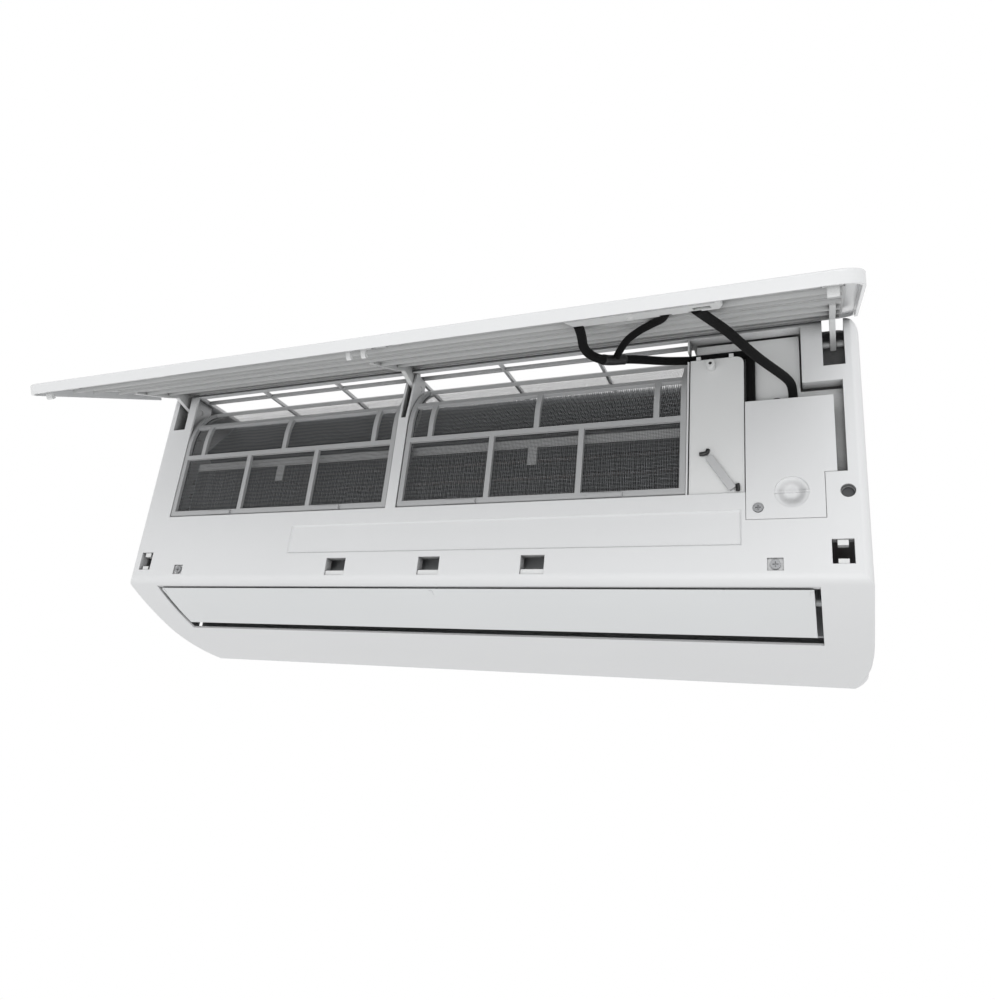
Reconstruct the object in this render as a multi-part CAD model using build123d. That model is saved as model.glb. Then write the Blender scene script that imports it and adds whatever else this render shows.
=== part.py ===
from build123d import *
import math
import os

# Wall-mounted air-conditioner indoor unit with its front panel lifted, in millimetres.
# X runs along the unit to the right of someone facing it, Y runs into the wall (the wall is Y = 0),
# and Z runs up from the unit's underside. The pieces are written from the centre of the wall plate.

os.makedirs("parts", exist_ok=True)

# ---------------------------------------------------------------- overall casing
unit_width = 802.0
unit_height = 310.0
unit_depth = 189.0           # wall to the face of the closed panel
wall = 2.5                   # moulded wall
fit_gap = 0.4                # between mouldings that are assembled
run_gap = 0.15               # radial, between a pin and its hole
shaft_gap = 0.08             # radial, between the fan's shaft and its bearings
rim_depth = 10.5             # the panel's rim, front to back
rim_gap = 0.5                # between the closed panel's rim and the casing
half_width = unit_width / 2
frame_front = -(unit_depth - rim_depth - rim_gap)
frame_back = -12.0           # rear edge of the front casing
crease_z = 66.0              # lower edge of the flat front
crease_radius = 12.0
belly_sag = 9.0              # how far the underside bows out from straight
brow_radius = 6.0            # front top edge
top_corner = 18.0            # corners in the front view
bottom_corner = 26.0
edge_round, edge_bulge = 7.0, 1.12           # upright edges at the ends, in plan
knock_out = ((-50.0, 1.0), (12.0, 62.0))     # opening for the pipes in each end wall

# ---------------------------------------------------------------- electrical end, from the right end inwards
bay_x = (half_width - 148, half_width - 48)  # opening over the control cover and the cable pocket
cover_x = (half_width - 97, half_width - 23) # terminal cover
cover_z = (119.0, unit_height - 78)
cover_thick = 2.2
cover_screw_x, cover_screw_z = half_width - 87, cover_z[0] + 10.5
notch_x, notch_z = half_width - 33, cover_z[0] + 41
step_x, step_z = half_width - 15, unit_height - 64
pocket_floor = frame_front + 13
control_x = (bay_x[0] + 1.5, cover_x[0] - 1)
control_top = unit_height - 29
control_front = frame_front + 2.0
control_wall = 1.8
box_back = pocket_floor + 35
box_wall = 2.0
button_x, button_z = half_width - 15.5, 142.0
button_r = 4.85
button_travel = 1.5
switch_y = frame_front + 18.5
harness_r = 4.0
branch_r = 3.2
plug_top = 218.0
harness_y, harness_z = pocket_floor - harness_r - 1.0, control_top + harness_r + 0.3
harness_drop_x = control_x[1] + harness_r + 1.6
harness_start = bay_x[0] - 0.8
lead_ends = (harness_drop_x, half_width - 70, half_width - 56)
screw_head, screw_shank = 4.2, 2.0
grip_radius, grip_depth = 14.0, 1.3
plug_half, plug_height = 5.0, 12.0
probe_ends = ((half_width - 129, 180.0), (half_width - 108, 148.0))
probe_width, probe_thick = 7.0, 3.4

# ---------------------------------------------------------------- filters and their windows
filter_gap = 14.0            # between the two filters, where the post stands
filter_left = -half_width + 41.5
filter_right = bay_x[0] - 1.5
filter_width = (filter_right - filter_left - filter_gap) / 2
window_bottom = 144.0
window_top = unit_height - 5.5
window_side = 6.5            # casing window beyond the filter
filter_bottom = window_bottom + 3.3
filter_bend_z = unit_height - 72             # where the flat part ends
filter_bend_radius = 70.0
filter_bend_angle = 60.0
filter_thick = 4.0
filter_face = frame_front + 1.0
mesh_thick = 0.5
guide_thick = 2.0
stile = 5.5
mullion = 5.5
mid_rail_z = (filter_bend_z - 19.5, filter_bend_z - 14)
top_rail = (21.0, 25.5)      # degrees round the bend
bottom_rail = 4.0
top_edge = 6.0               # degrees of frame left at the upper end
post_spread = 121.0          # upper posts to either side of the middle one
pull_offset, pull_half = 75.0, 17.0
post_x = filter_left + filter_width + filter_gap / 2
post_width = filter_gap - 2.0
cheek = 3.0

# ---------------------------------------------------------------- intake grille
grille_front = frame_front + 4
grille_bay = 105.0
grille_thick = 4.0
grille_bar = 3.0
grille_rim = 4.0
grille_back = -34.0
grille_first_bar = -155.0
grille_pitch = 33.0

# ---------------------------------------------------------------- front panel and its hinge
panel_half = half_width - 1
panel_bottom = crease_z + 3.5
panel_top = unit_height - 5
panel_corner = 20.0
panel_wall = 2.5
panel_edge = 2.2             # rounding of the face's edge
panel_open = 65.0
panel_face = -unit_depth
panel_inner = panel_face + panel_wall
backing = 1.5
backing_half, backing_z, backing_corner = panel_half - 12, (118.0, panel_top - 9), 6.0
backing_slot = (150.0, 176.0)
backing_ribs = ((119.5, 4.0), (146.0, 3.0), (180.0, 3.0), (panel_top - 91, 4.0), (panel_top - 57, 3.0),
                (panel_top - 20, 2.0))       # height up the panel, and how far each stands out
rib_thick = 1.8
hinge_y, hinge_z = frame_front + 18, unit_height - 18
hinge_pin = 3.0
arm_thick = 5.0
arm_foot = hinge_z - 92
arm_boss = 6.0
slot_x = (half_width - 30, half_width - 12)  # hinge slots in the casing
slot_bottom = unit_height - 49
slot_depth = 34.0
relief_z = unit_height - 54  # the rim is shallow above this
shallow_rim = 5.0
hook_z = 86.0
hook_end, hook_middle = half_width - 21.5, 7.5
hook_x = (-hook_end, -hook_middle, hook_middle, hook_end)
hook_reach = 12.0
holder_x, holder_z = (half_width - 214, half_width - 97), (84.0, 114.0)
holder_depth = 7.0
cord_ports = (half_width - 209, half_width - 139, half_width - 117)

# ---------------------------------------------------------------- slots of the lower front
latch_end_x, latch_end_z = (slot_x[0], half_width - 13), (79.0, 100.0)
latch_middle_x, latch_middle_z = (-110.5, 0.0, 110.5), (71.5, 90.0)
latch_middle_width = 24.0
latch_depth = 10.0
latch_pad = 1.5
catch_gap, catch_depth, catch_height = 0.3, (1.5, 9.0), 4.7
frame_screw_x, frame_screw_z = half_width - 74, 79.0
recess_x, recess_z = (-half_width + 225, half_width - 101), (96.0, 128.0)
recess_depth = 1.6

# ---------------------------------------------------------------- fan, coil and air path
fan_y, fan_z = -82.0, 150.0
fan_radius = 46.0
fan_x = (-half_width + 61, half_width - 161)
blade_count = 24
blade_thick = 1.2
blade_depth = 11.0
blade_sweep = 14.0           # degrees
disc_count = 6
disc_thick = 3.0
shaft_radius = 4.0
hub_radius, hub_length = 11.0, 8.0
shaft_reach = (20.0, 45.0)   # beyond the drum, left and right
motor_radius = 36.0
motor_x = (half_width - 137, half_width - 65)
motor_nose = (15.0, 6.0)     # radius and length
motor_hole = 24.0            # in the end wall, round the motor's nose
bearing_radius, bearing_flange, bearing_length = 12.0, 14.0, 9.0
blade_gap, blade_offset = 0.6, 2.0
saddle_x = (motor_x[0] + 6, motor_x[1] - 14)
saddle_thick = 5.0
saddle_low, saddle_top, cap_top = fan_z - 43, fan_z - 4, fan_z + 40
cap_wall = 2.5
cap_depth = (fan_y - 40, fan_y + 62)
coil_x = (-half_width + 53, half_width - 154)
coil_thick = 22.0
coil_core = 10.0             # between the fins
fin_pitch, fin_thick = 8.5, 1.0
sheet_thick = 1.2
pack_lines = (((-149.0, 126.0), (-149.0, unit_height - 92)),                   # upright, behind the filters
              ((-144.5, unit_height - 80), (-104.0, unit_height - 24)),        # leaning back
              ((-86.0, unit_height - 26), (-34.0, fan_z + 70)))                # behind the fan
tube_pitch = 19.0
tube_radius = 3.5
bend_lead = 4.0              # straight part of a return bend
strip_z = (filter_bend_z - 28.5, filter_bend_z - 19.5)
strip_tabs = (coil_x[0] + 172, coil_x[1] - 139)
tab_half, tab_drop = 5.0, 19.0
outlet_lip = -99.0           # lower lip of the outlet
duct_half = half_width - 40
duct_wall = 2.2
end_wall = 2.5
scroll_low_z = 108.0
scroll_angles = (58.0, 5.0, -42.0)           # degrees round the fan
scroll_gap = (5.0, 9.0, 15.0)                # widens from the top round to the back
scroll_foot = (outlet_lip + 4, 35.0)
rear_trough, rear_trough_front = (fan_z + 54, fan_z + 62), -54.0
bay_wall = fan_x[1] + 4.0    # between the fan and the motor
channel = (-46.0, 22.0, 64.0)                # rear pipe channel: its front, bottom and top
back_foot = (-14.0, 9.0)                     # lower end of the back skin, (y, z)
duct_base = ((channel[0], channel[2] + 2), (-97.0, 37.0))
duct_end = ((-60.0, channel[2] + 2), duct_base[1], (-126.0, 100.0), (-118.0, 150.0), (-100.0, 205.0),
            (-60.0, 215.0), (-34.0, 205.0), (-20.0, 240.0), (-20.0, unit_height - 18))
bay_roof = (-138.0, -37.0)
spout_x, spout_base, spout_z = -half_width + 21, -132.0, 108.0
spout_radius, spout_length = 8.0, 16.0
spout_collar, spout_root = 2.6, 18.0         # step out round the spout, and how far it reaches the pan
pan_left, pan_end = -half_width + 13, 2.0
pan_section = ((-167.0, 139.0), (-167.0, 122.0), (-136.0, 118.0), (-132.0, 128.0))
outlet_ceiling = ((-137.0, 118.0), (-141.0, 103.0), (-166.0, 71.0))
louvre_cheek = ((-169.0, 114.0), (-137.0, 114.0), (-129.0, 101.0), (-101.0, 39.0), (-114.0, 38.0),
                (-169.0, 67.0))
screw_post = 5.0

# ---------------------------------------------------------------- louvre
louvre_half = duct_half - 5
louvre_wall = 2.4
louvre_pivot = (-128.0, 58.0)
outlet_top = 61.5
louvre_lip_gap = 10.0
louvre_pin = 3.0
drive_pin = 1.6
louvre_arm = 3.0
louvre_arm_line = ((-166.0, 58.0), (-120.0, 37.5), (-117.0, 38.5), (-124.0, 60.0), (-130.0, 62.0),
                   (-160.0, 62.0))
louvre_back = (20.0, 44.0)   # heights of the blade's rear edge
louvre_ribs, louvre_rib_z = (-158.0, -136.0), (40.0, 56.0)
louvre_rib_thick, louvre_rib_reach = 1.6, 7.0
louvre_motor_radius, louvre_motor_length = 12.0, 15.0
louvre_ear = (1.2, 19.0, 4.0)                # thickness, half length and half height

# ---------------------------------------------------------------- vertical vanes
vane_count = 4               # in each of the two groups
vane_pitch = 78.0
vane_ends = (-6.0, 14.5)     # before and after the pivot, along the flow
vane_height = 40.0
vane_thick = 1.6
vane_centre = (-92.0, 86.0)  # the pivot, side view
vane_pin, link_pin = 1.5, 1.2
link_bar = (-5.0, 4.0)       # its edges, before and after the pins
link_gap, link_thick = 0.4, 1.8
holder_half, holder_thick = 5.0, 3.6
holder_foot = (8.0, 14.0)    # beside each vane
flow_angle = 46.0            # air leaves forwards and this far below level
link_arm = 11.0
vane_swing = 30.0

# ---------------------------------------------------------------- pipes
pipe_z = (24.0, 46.0)        # liquid pipe, gas pipe, in the rear channel
pipe_y = (-26.0, -28.0)
pipe_radius = (3.175, 4.76)
pipe_end = (-40.0, -80.0)
pipe_riser_x = (half_width - 39, half_width - 59)
pipe_bend = 15.0
union_length = (22.0, 26.0)
hexagon_start, hexagon_length = 2.0, 9.0
clamp_x = (130.0, 160.0)
clamp_back, clamp_foot = -18.0, (13.0, 23.6)

# ---------------------------------------------------------------- wall plate
plate_half = half_width - 101
plate_z = (70.0, unit_height - 60)
plate_thick = 1.2
plate_centre = 160.0
plate_corner = 12.0
plate_window = (150.0, 120.0, 70.0, 10.0)    # from the middle, width, height, corner
screw_span_x, screw_span_z = 450.0, 110.0
wall_screw_r = 2.75
chassis_back = -7.0
back_y, back_top = chassis_back - wall / 2, unit_height - 7      # middle of the chassis's back skin
hook_stations, hook_half = (-222.0, 222.0), 15.0
hook_out, hook_rise = 3.6, 9.0
rib_stations, rib_half, rib_z = (-200.0, 0.0, 200.0), 6.0, (90.0, unit_height - 75)

FAR = 1000.0                 # beyond the unit, for cuts that run right through


# ---------------------------------------------------------------- helpers
def block(x, y, z):
    """A box between the two ends given for each axis."""
    size = [b - a for a, b in (x, y, z)]
    return Pos(*[(a + b) / 2 for a, b in (x, y, z)]) * Box(*size)


def side_face(*points):
    """A closed outline in the side view, from (y, z) points."""
    return make_face(Polyline(*points, close=True))


def band(path, thickness):
    """A wall of even thickness that follows a side-view path."""
    return make_face(offset(Wire(path.edges()), amount=thickness / 2, side=Side.BOTH))


def along_x(face, x0, x1):
    """A side-view face extruded from x0 to x1."""
    return Pos(x0, 0, 0) * extrude(Plane.YZ * face, x1 - x0)


def front_face(face, y0, y1):
    """A front-view face, (x, z), extruded from y0 back to y1."""
    return Pos(0, y1, 0) * extrude(Plane.XZ * face, y1 - y0)


def rod_x(radius, x0, x1, y, z):
    return Pos((x0 + x1) / 2, y, z) * Rot(0, 90, 0) * Cylinder(radius, x1 - x0)


def rod_y(radius, x, y0, y1, z):
    return Pos(x, (y0 + y1) / 2, z) * Rot(90, 0, 0) * Cylinder(radius, y1 - y0)


def fuse(shapes):
    shapes = list(shapes)
    return shapes[0] + shapes[1:] if len(shapes) > 1 else shapes[0]


def on_axis(shape, y, z, angle):
    """Turns a shape about an X axis through (y, z)."""
    return Pos(0, y, z) * Rot(angle, 0, 0) * Pos(0, -y, -z) * shape


def opened(shape):
    """From the panel's closed place to its lifted place."""
    return on_axis(shape, hinge_y, hinge_z, -panel_open)


def save(node, *solids):
    """Writes one piece, measured from the centre of the wall plate."""
    group = Compound(children=[Pos(0, 0, -plate_centre) * s for part in solids for s in part.solids()])
    export_step(group, f"parts/{node}.step")


# ---------------------------------------------------------------- casing
def belly():
    """The bowed underside, from the wall to the crease."""
    start, end = (0.0, 0.0), (frame_front, crease_z)
    length = math.dist(start, end)
    nx, nz = -(crease_z) / length, frame_front / length
    middle = ((start[0] + end[0]) / 2 + nx * belly_sag, (start[1] + end[1]) / 2 + nz * belly_sag)
    return ThreePointArc(start, middle, end)


def casing_side():
    """The casing's side view, closed along the wall."""
    r = brow_radius
    face = belly() + Line((frame_front, crease_z), (frame_front, unit_height - r))
    face += RadiusArc((frame_front, unit_height - r), (frame_front + r, unit_height), r)
    face += Polyline((frame_front + r, unit_height), (0, unit_height), (0, 0))
    face = make_face(face)
    crease = face.vertices().sort_by_distance((frame_front, crease_z))[0]
    return fillet(crease, crease_radius)


def plan_view(inset):
    """The casing from above: its front corners are arcs that meet the faces at a slight angle."""
    half, front = half_width - inset, frame_front + inset
    bulge = edge_round * edge_bulge
    outline = Line((half, 0), (half, front + edge_round))
    outline += RadiusArc((half, front + edge_round), (half - edge_round, front), bulge)
    outline += Line((half - edge_round, front), (edge_round - half, front))
    outline += RadiusArc((edge_round - half, front), (-half, front + edge_round), bulge)
    outline += Polyline((-half, front + edge_round), (-half, 0), (half, 0))
    return make_face(outline)


def front_view(inset):
    """The casing from the front, shrunk evenly by inset."""
    view = Pos(0, unit_height / 2) * Rectangle(unit_width - 2 * inset, unit_height - 2 * inset)
    view = fillet(view.vertices().group_by(Axis.Y)[-1], top_corner - inset)
    return fillet(view.vertices().group_by(Axis.Y)[0], bottom_corner - inset)


def casing_body(inset):
    """The casing's outer body, shrunk evenly by inset."""
    side = casing_side() if inset == 0 else offset(casing_side(), -inset)
    half = half_width - inset
    body = along_x(side, -half, half) & front_face(front_view(inset), frame_front, 0)
    return body & extrude(plan_view(inset), unit_height)


def electrical_opening():
    """Front view of the opening over the control cover, the cable pocket and the terminal cover."""
    edge = fit_gap
    return make_face(Polyline(
        (bay_x[0], window_bottom), (cover_x[0] - edge, window_bottom),
        (cover_x[0] - edge, cover_z[0] - edge), (notch_x + edge, cover_z[0] - edge),
        (notch_x + edge, notch_z - edge), (step_x, notch_z - edge),
        (step_x, step_z), (bay_x[1], step_z), (bay_x[1], window_top - 1), (bay_x[0], window_top - 1),
        close=True))


def filter_path(back):
    """Side view of the filter's curve, set back from its front face."""
    y = filter_face + back
    r = filter_bend_radius - back
    a = math.radians(filter_bend_angle)
    centre = y + r
    straight = Line((y, filter_bottom), (y, filter_bend_z))
    middle = (centre - r * math.cos(a / 2), filter_bend_z + r * math.sin(a / 2))
    end = (centre - r * math.cos(a), filter_bend_z + r * math.sin(a))
    return straight + ThreePointArc((y, filter_bend_z), middle, end)


def filter_spans():
    """The left and right ends of each filter."""
    for i in range(2):
        x = filter_left + i * (filter_width + filter_gap)
        yield x, x + filter_width


def guides():
    """Curved ledges of the casing that the filters lie on."""
    depth = filter_thick + mesh_thick + fit_gap
    ledge = band(filter_path(depth + guide_thick / 2), guide_thick)
    cheek = band(filter_path((depth + guide_thick + 0.5) / 2), depth + guide_thick - 0.5)
    left, right = filter_left, filter_right
    reach = filter_gap / 2 + 6
    for x0, x1 in ((left - fit_gap, left + window_side), (post_x - reach, post_x + reach),
                   (right - window_side, right + fit_gap)):
        yield along_x(ledge, x0, x1)
    for x0, x1 in ((left - guide_thick - fit_gap, left - fit_gap), (right + fit_gap, right + guide_thick)):
        yield along_x(cheek, x0, x1)
    upright = block((right + fit_gap, right + guide_thick), (frame_front + 0.5, pocket_floor),
                    (window_bottom - 3, window_top + 1))
    passage = harness_r + 1.5
    yield upright - block((right, right + 5), (frame_front - 1, pocket_floor + 1),
                          (harness_z - passage, harness_z + passage))


def centre_post():
    """The post between the filters, forked at its top for the middle hinge arm."""
    x0, x1 = post_x - post_width / 2, post_x + post_width / 2
    back = frame_front + 18
    web = block((x0, x1), (frame_front, frame_front + 3), (window_bottom - 1, slot_bottom - 12))
    side = side_face((frame_front, window_bottom - 1), (frame_front, slot_bottom - 8),
                     (hinge_y - 12, window_top + 1), (hinge_y + 9, window_top + 1),
                     (hinge_y + 9, slot_bottom),
                     (back - 6, filter_bend_z - 20), (back - 6, window_bottom - 1))
    sides = along_x(side, x0, x0 + cheek) + along_x(side, x1 - cheek, x1)
    return web + sides - rod_x(hinge_pin + run_gap, x0 - 1, x1 + 1, hinge_y, hinge_z)


def hinge_pocket(sign):
    """Walls behind a hinge slot, with the pin holes."""
    x0, x1 = sorted((sign * (slot_x[0] - wall), sign * (slot_x[1] + wall)))
    back = frame_front + slot_depth
    outer = block((x0, x1), (frame_front + 1, back), (slot_bottom - wall, unit_height - 1))
    inner = block((x0 + wall, x1 - wall), (frame_front, back - wall), (slot_bottom, unit_height))
    return outer - inner - rod_x(hinge_pin + run_gap, x0 - 1, x1 + 1, hinge_y, hinge_z)


def latch_windows():
    """(x, z) ranges of the slots along the casing's lower front."""
    for s in (-1, 1):
        yield tuple(sorted((s * latch_end_x[0], s * latch_end_x[1]))), latch_end_z
    for x in latch_middle_x:
        yield (x - latch_middle_width / 2, x + latch_middle_width / 2), latch_middle_z


def grille_x():
    """Ends of the casing's top opening."""
    return filter_left - window_side, filter_right + window_side


def pocketed_boss(shell, s):
    """Adds the sunk boss for one frame screw to the casing."""
    x, z = s * frame_screw_x, frame_screw_z
    shell += block((x - 6, x + 6), (frame_front + 1, frame_front + 9), (z - 6, z + 6))
    shell -= block((x - 6.5, x + 6.5), (frame_front - 1, frame_front + 2), (z - 5.5, z + 5.5))
    return shell - rod_y(screw_shank + 0.1, x, frame_front - 1, frame_front + 10, z)


def make_front_frame():
    shell = casing_body(0) - casing_body(wall) - block((-FAR, FAR), (frame_back, 1), (-1, FAR))
    front = (frame_front - 1, frame_front + wall + 1)
    shell -= block((filter_left - fit_gap, bay_x[0]), front, (window_bottom, window_top))
    shell -= block(grille_x(), (grille_front, grille_back), (unit_height - 10, unit_height + 1))
    opening = electrical_opening()
    shell -= front_face(opening, *front)
    outlet = side_face((frame_front - 5, outlet_top), (frame_front + 12, outlet_top), (outlet_lip + 6, 36),
                       (outlet_lip, 24), (outlet_lip, -1), (frame_front - 5, -1))
    shell -= along_x(outlet, -duct_half, duct_half)
    for s in (-1, 1):
        shell -= block(sorted((s * (half_width - 5), s * (half_width + 1))), *knock_out)
    flange = front_face(offset(opening, 2.0) - opening, frame_front + 1, pocket_floor - fit_gap)
    flange -= block((0, bay_x[0] + 0.5), (-FAR, 0), (0, FAR))
    flange -= block((0, FAR), (-FAR, 0), (window_top, FAR))
    pockets = [hinge_pocket(s) & casing_body(1.0) for s in (-1, 1)]
    shell += [flange] + list(guides()) + [centre_post()] + pockets
    for s in (-1, 1):
        x0, x1 = sorted((s * slot_x[0], s * slot_x[1]))
        shell -= block((x0, x1), (frame_front - 1, hinge_y + 6), (slot_bottom, unit_height + 1))
        shell = pocketed_boss(shell, s)
    for x, z in latch_windows():
        shell += block((x[0] - latch_pad, x[1] + latch_pad), (frame_front + 1, frame_front + latch_depth),
                       (z[0] - latch_pad, z[1] + latch_pad))
        shell -= block(x, (frame_front - 1, frame_front + latch_depth + 1), z)
    rx = block(recess_x, (frame_front - 1, frame_front + recess_depth), recess_z)
    shell -= chamfer(rx.faces().sort_by(Axis.Y)[-1].edges(), recess_depth * 0.9)
    half = arm_thick / 2 + 0.8
    notch = block((post_x - half, post_x + half), (frame_front - 1, frame_front + 6),
                  (slot_bottom, unit_height + 1))
    boss = rod_y(8.5, button_x, frame_front + 1, frame_front + 12, button_z)
    hole = rod_y(6.0, button_x, frame_front - 1, frame_front + 6, button_z)
    hole += rod_y(button_r + run_gap, button_x, frame_front, frame_front + 13, button_z)
    return shell + boss - hole - notch


def make_intake_grille():
    """The louvred top: a thin ladder of bars in the casing's top opening."""
    left, right = grille_x()
    y0, y1 = grille_front + fit_gap, grille_back - fit_gap
    z = (unit_height - grille_thick, unit_height)
    rim = block((left + fit_gap, right - fit_gap), (y0, y1), z)
    rim -= block((left + grille_rim, right - grille_rim), (y0 + grille_rim, y1 - grille_rim),
                 (z[0] - 1, z[1] + 1))
    half = grille_bar / 2
    count = int((right - left) // grille_bay)
    cross = [post_x + i * grille_bay for i in range(-(count // 2), count // 2 + 1)]
    bars = [block((x - half, x + half), (y0 + 1, y1 - 1), z) for x in cross if left + 6 < x < right - 6]
    rows = int((y1 - 8 - grille_first_bar) // grille_pitch) + 1
    for y in (grille_first_bar + i * grille_pitch for i in range(rows)):
        bars.append(block((left + 1, right - 1), (y - half, y + half), z))
    ladder = rim + bars
    return ladder - block((post_x - 3.6, post_x + 3.6), (y0 - 1, grille_first_bar - 2), (z[0] - 1, z[1] + 1))


# ---------------------------------------------------------------- filters
def bend_sector(a0, a1):
    """Side view of the sector between two angles round the filter's bend."""
    centre, reach = filter_face + filter_bend_radius, filter_bend_radius + 30
    rim = [(centre - reach * math.cos(math.radians(a)), filter_bend_z + reach * math.sin(math.radians(a)))
           for a in (a0, (a0 + a1) / 2, a1)]
    return side_face((centre, filter_bend_z), *rim)


def filter_panes(x0):
    """Side-view and X ranges of the holes in a filter frame, in three rows."""
    front, centre = filter_face - 10, filter_face + filter_bend_radius
    low = side_face((front, filter_bottom + bottom_rail), (centre, filter_bottom + bottom_rail),
                    (centre, mid_rail_z[0]), (front, mid_rail_z[0]))
    high = side_face((front, mid_rail_z[1]), (centre, mid_rail_z[1]), (centre, filter_bend_z + 0.1),
                     (front, filter_bend_z + 0.1)) + bend_sector(0, top_rail[0])
    over = bend_sector(top_rail[1], filter_bend_angle - top_edge)
    inner = (x0 + stile, x0 + filter_width - stile)
    third = (inner[1] - inner[0]) / 3
    middle = (inner[0] + inner[1]) / 2
    rows = ((low, (inner[0] + third, inner[1] - third)),
            (high, (middle - post_spread, middle, middle + post_spread)), (over, ()))
    for face, posts in rows:
        edges = [inner[0]] + [p + s * mullion / 2 for p in posts for s in (-1, 1)] + [inner[1]]
        for a0, a1 in zip(edges[::2], edges[1::2]):
            yield face, a0, a1


def make_filter_frame(x0):
    """One filter's frame: two rails and posts, curved at the top, with two finger pulls at the bottom."""
    frame = along_x(band(filter_path(filter_thick / 2), filter_thick), x0, x0 + filter_width)
    for face, a0, a1 in filter_panes(x0):
        frame -= along_x(face, a0, a1)
    for s in (-1, 1):
        x = x0 + filter_width / 2 + s * pull_offset
        frame += block((x - pull_half, x + pull_half), (frame_front - 2, filter_face + 1),
                       (window_bottom + 1, filter_bottom + 1.7))
    return frame


def make_filter_mesh(x0):
    path = filter_path(filter_thick + mesh_thick / 2 + 0.05)
    return along_x(band(path, mesh_thick), x0 + 2, x0 + filter_width - 2)


# ---------------------------------------------------------------- front panel
def rounded_front(x, z, radius):
    width, height = x[1] - x[0], z[1] - z[0]
    return Pos((x[0] + x[1]) / 2, (z[0] + z[1]) / 2) * RectangleRounded(width, height, radius)


def make_panel_shell():
    """The lifted front: a shallow tray with a rim, drawn closed and then opened."""
    outer = front_face(rounded_front((-panel_half, panel_half), (panel_bottom, panel_top), panel_corner),
                       panel_face, panel_face + rim_depth)
    outer = fillet(outer.faces().sort_by(Axis.Y)[0].edges(), panel_edge)
    hollow = rounded_front((-panel_half + panel_wall, panel_half - panel_wall),
                           (panel_bottom + panel_wall, panel_top - panel_wall), panel_corner - panel_wall)
    tray = outer - front_face(hollow, panel_inner, panel_face + rim_depth + 1)
    tray -= block((-FAR, FAR), (panel_face + shallow_rim, 0), (relief_z, FAR))
    return opened(tray)


def arm_side():
    """Side view of a hinge arm, from the panel's inner face to the pin."""
    neck = frame_front - 1.5
    return side_face((panel_inner, arm_foot), (panel_inner, hinge_z + 9), (panel_inner + 8, hinge_z + 9),
                     (hinge_y, hinge_z + arm_boss), (hinge_y + arm_boss, hinge_z),
                     (hinge_y, hinge_z - arm_boss), (neck, slot_bottom + 4), (neck, slot_bottom - 14),
                     (panel_inner + 4, arm_foot))


def make_panel_frame():
    """The panel's inner frame: a stepped backing with ribs, latch hooks and hinge arms."""
    y1 = panel_inner + backing
    half = backing_half
    frame = front_face(rounded_front((-half, half), backing_z, backing_corner), panel_inner, y1)
    frame -= front_face(rounded_front((12 - half, half - 12), backing_slot, 4), panel_inner - 1, y1 + 1)
    for z, height in backing_ribs:
        frame += block((2 - half, half - 2), (panel_inner, y1 + height), (z, z + rib_thick))
    for x in cord_ports:
        gap = harness_r + 2
        frame -= block((x - gap, x + gap), (panel_inner - 1, y1 + 5), (backing_z[0] - 1, backing_z[0] + 6))
    for x, _ in hinge_arms():
        foot = arm_thick / 2 + 0.1
        frame -= block((x - foot, x + foot), (panel_inner - 1, y1 + 5), (arm_foot - 1, backing_z[1] + 1))
    return opened(frame)


def make_panel_hooks():
    """Hooks on the lifted panel that snap into the slots of the casing's lower front."""
    tip = panel_inner + hook_reach
    side = side_face((panel_inner, hook_z - 1.5), (tip, hook_z - 1.5), (tip + 1.5, hook_z),
                     (tip, hook_z + 3.2), (tip - 2.5, hook_z + 1.2), (panel_inner + backing, hook_z + 1.2),
                     (panel_inner, hook_z + 5))
    hooks = []
    for x in hook_x:
        half = 4.0 if abs(x) == hook_end else 2.2
        pad = block((x - half - 3, x + half + 3), (panel_inner, panel_inner + backing),
                    (hook_z - 8, backing_z[0] - 0.2))
        hooks.append(opened(along_x(side, x - half, x + half) + pad))
    return hooks


def hinge_arms():
    """The middle of each hinge arm and how far its pin reaches to either side."""
    yield post_x, post_width / 2 - 0.3
    for s in (-1, 1):
        yield s * sum(slot_x) / 2, (slot_x[1] - slot_x[0]) / 2 + 2


def make_panel_arms():
    """Hinge arms with their pins."""
    return [opened(along_x(arm_side(), x - arm_thick / 2, x + arm_thick / 2)
                   + rod_x(hinge_pin, x - reach, x + reach, hinge_y, hinge_z)) for x, reach in hinge_arms()]


def make_display_holder():
    """The tray on the panel that holds the display, with notches for the cables."""
    y1 = panel_inner + holder_depth
    (x0, x1), (z0, z1) = holder_x, holder_z
    tray = block(holder_x, (panel_inner, y1), holder_z)
    tray = chamfer(tray.edges().filter_by(Axis.Z).group_by(Axis.Y)[-1], 2.5)
    tray -= block((x0 + 2, x1 - 2), (panel_inner - 1, y1 - 1.6), (z0 + 2, z1 - 2))
    gap = harness_r + 0.8
    for x in cord_ports:
        tray -= block((x - gap, x + gap), (panel_inner - 1, y1 + 1), (z1 - 5, z1 + 1))
    tray -= block((x1 - 20, x1 - 7), (y1 - 3, y1 + 1), (z0 + 10, z0 + 22))
    return opened(tray + rod_y(3.0, x0 + 49, y1 - 1, y1 + 1.2, z0 + 20))


def make_display_board():
    """Circuit board with the digits and the remote receiver against the panel."""
    (x0, x1), (z0, z1) = holder_x, holder_z
    back = panel_inner + 2.2
    board = block((x0 + 4, x1 - 4), (back, back + 1.6), (z0 + 3, z1 - 4))
    digits = block((x0 + 49, x0 + 75), (panel_inner + 0.3, back), (z0 + 8, z0 + 20))
    receiver = block((x0 + 29, x0 + 37), (panel_inner + 0.3, back), (z0 + 10, z0 + 18))
    return opened(board + digits + receiver)


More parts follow.
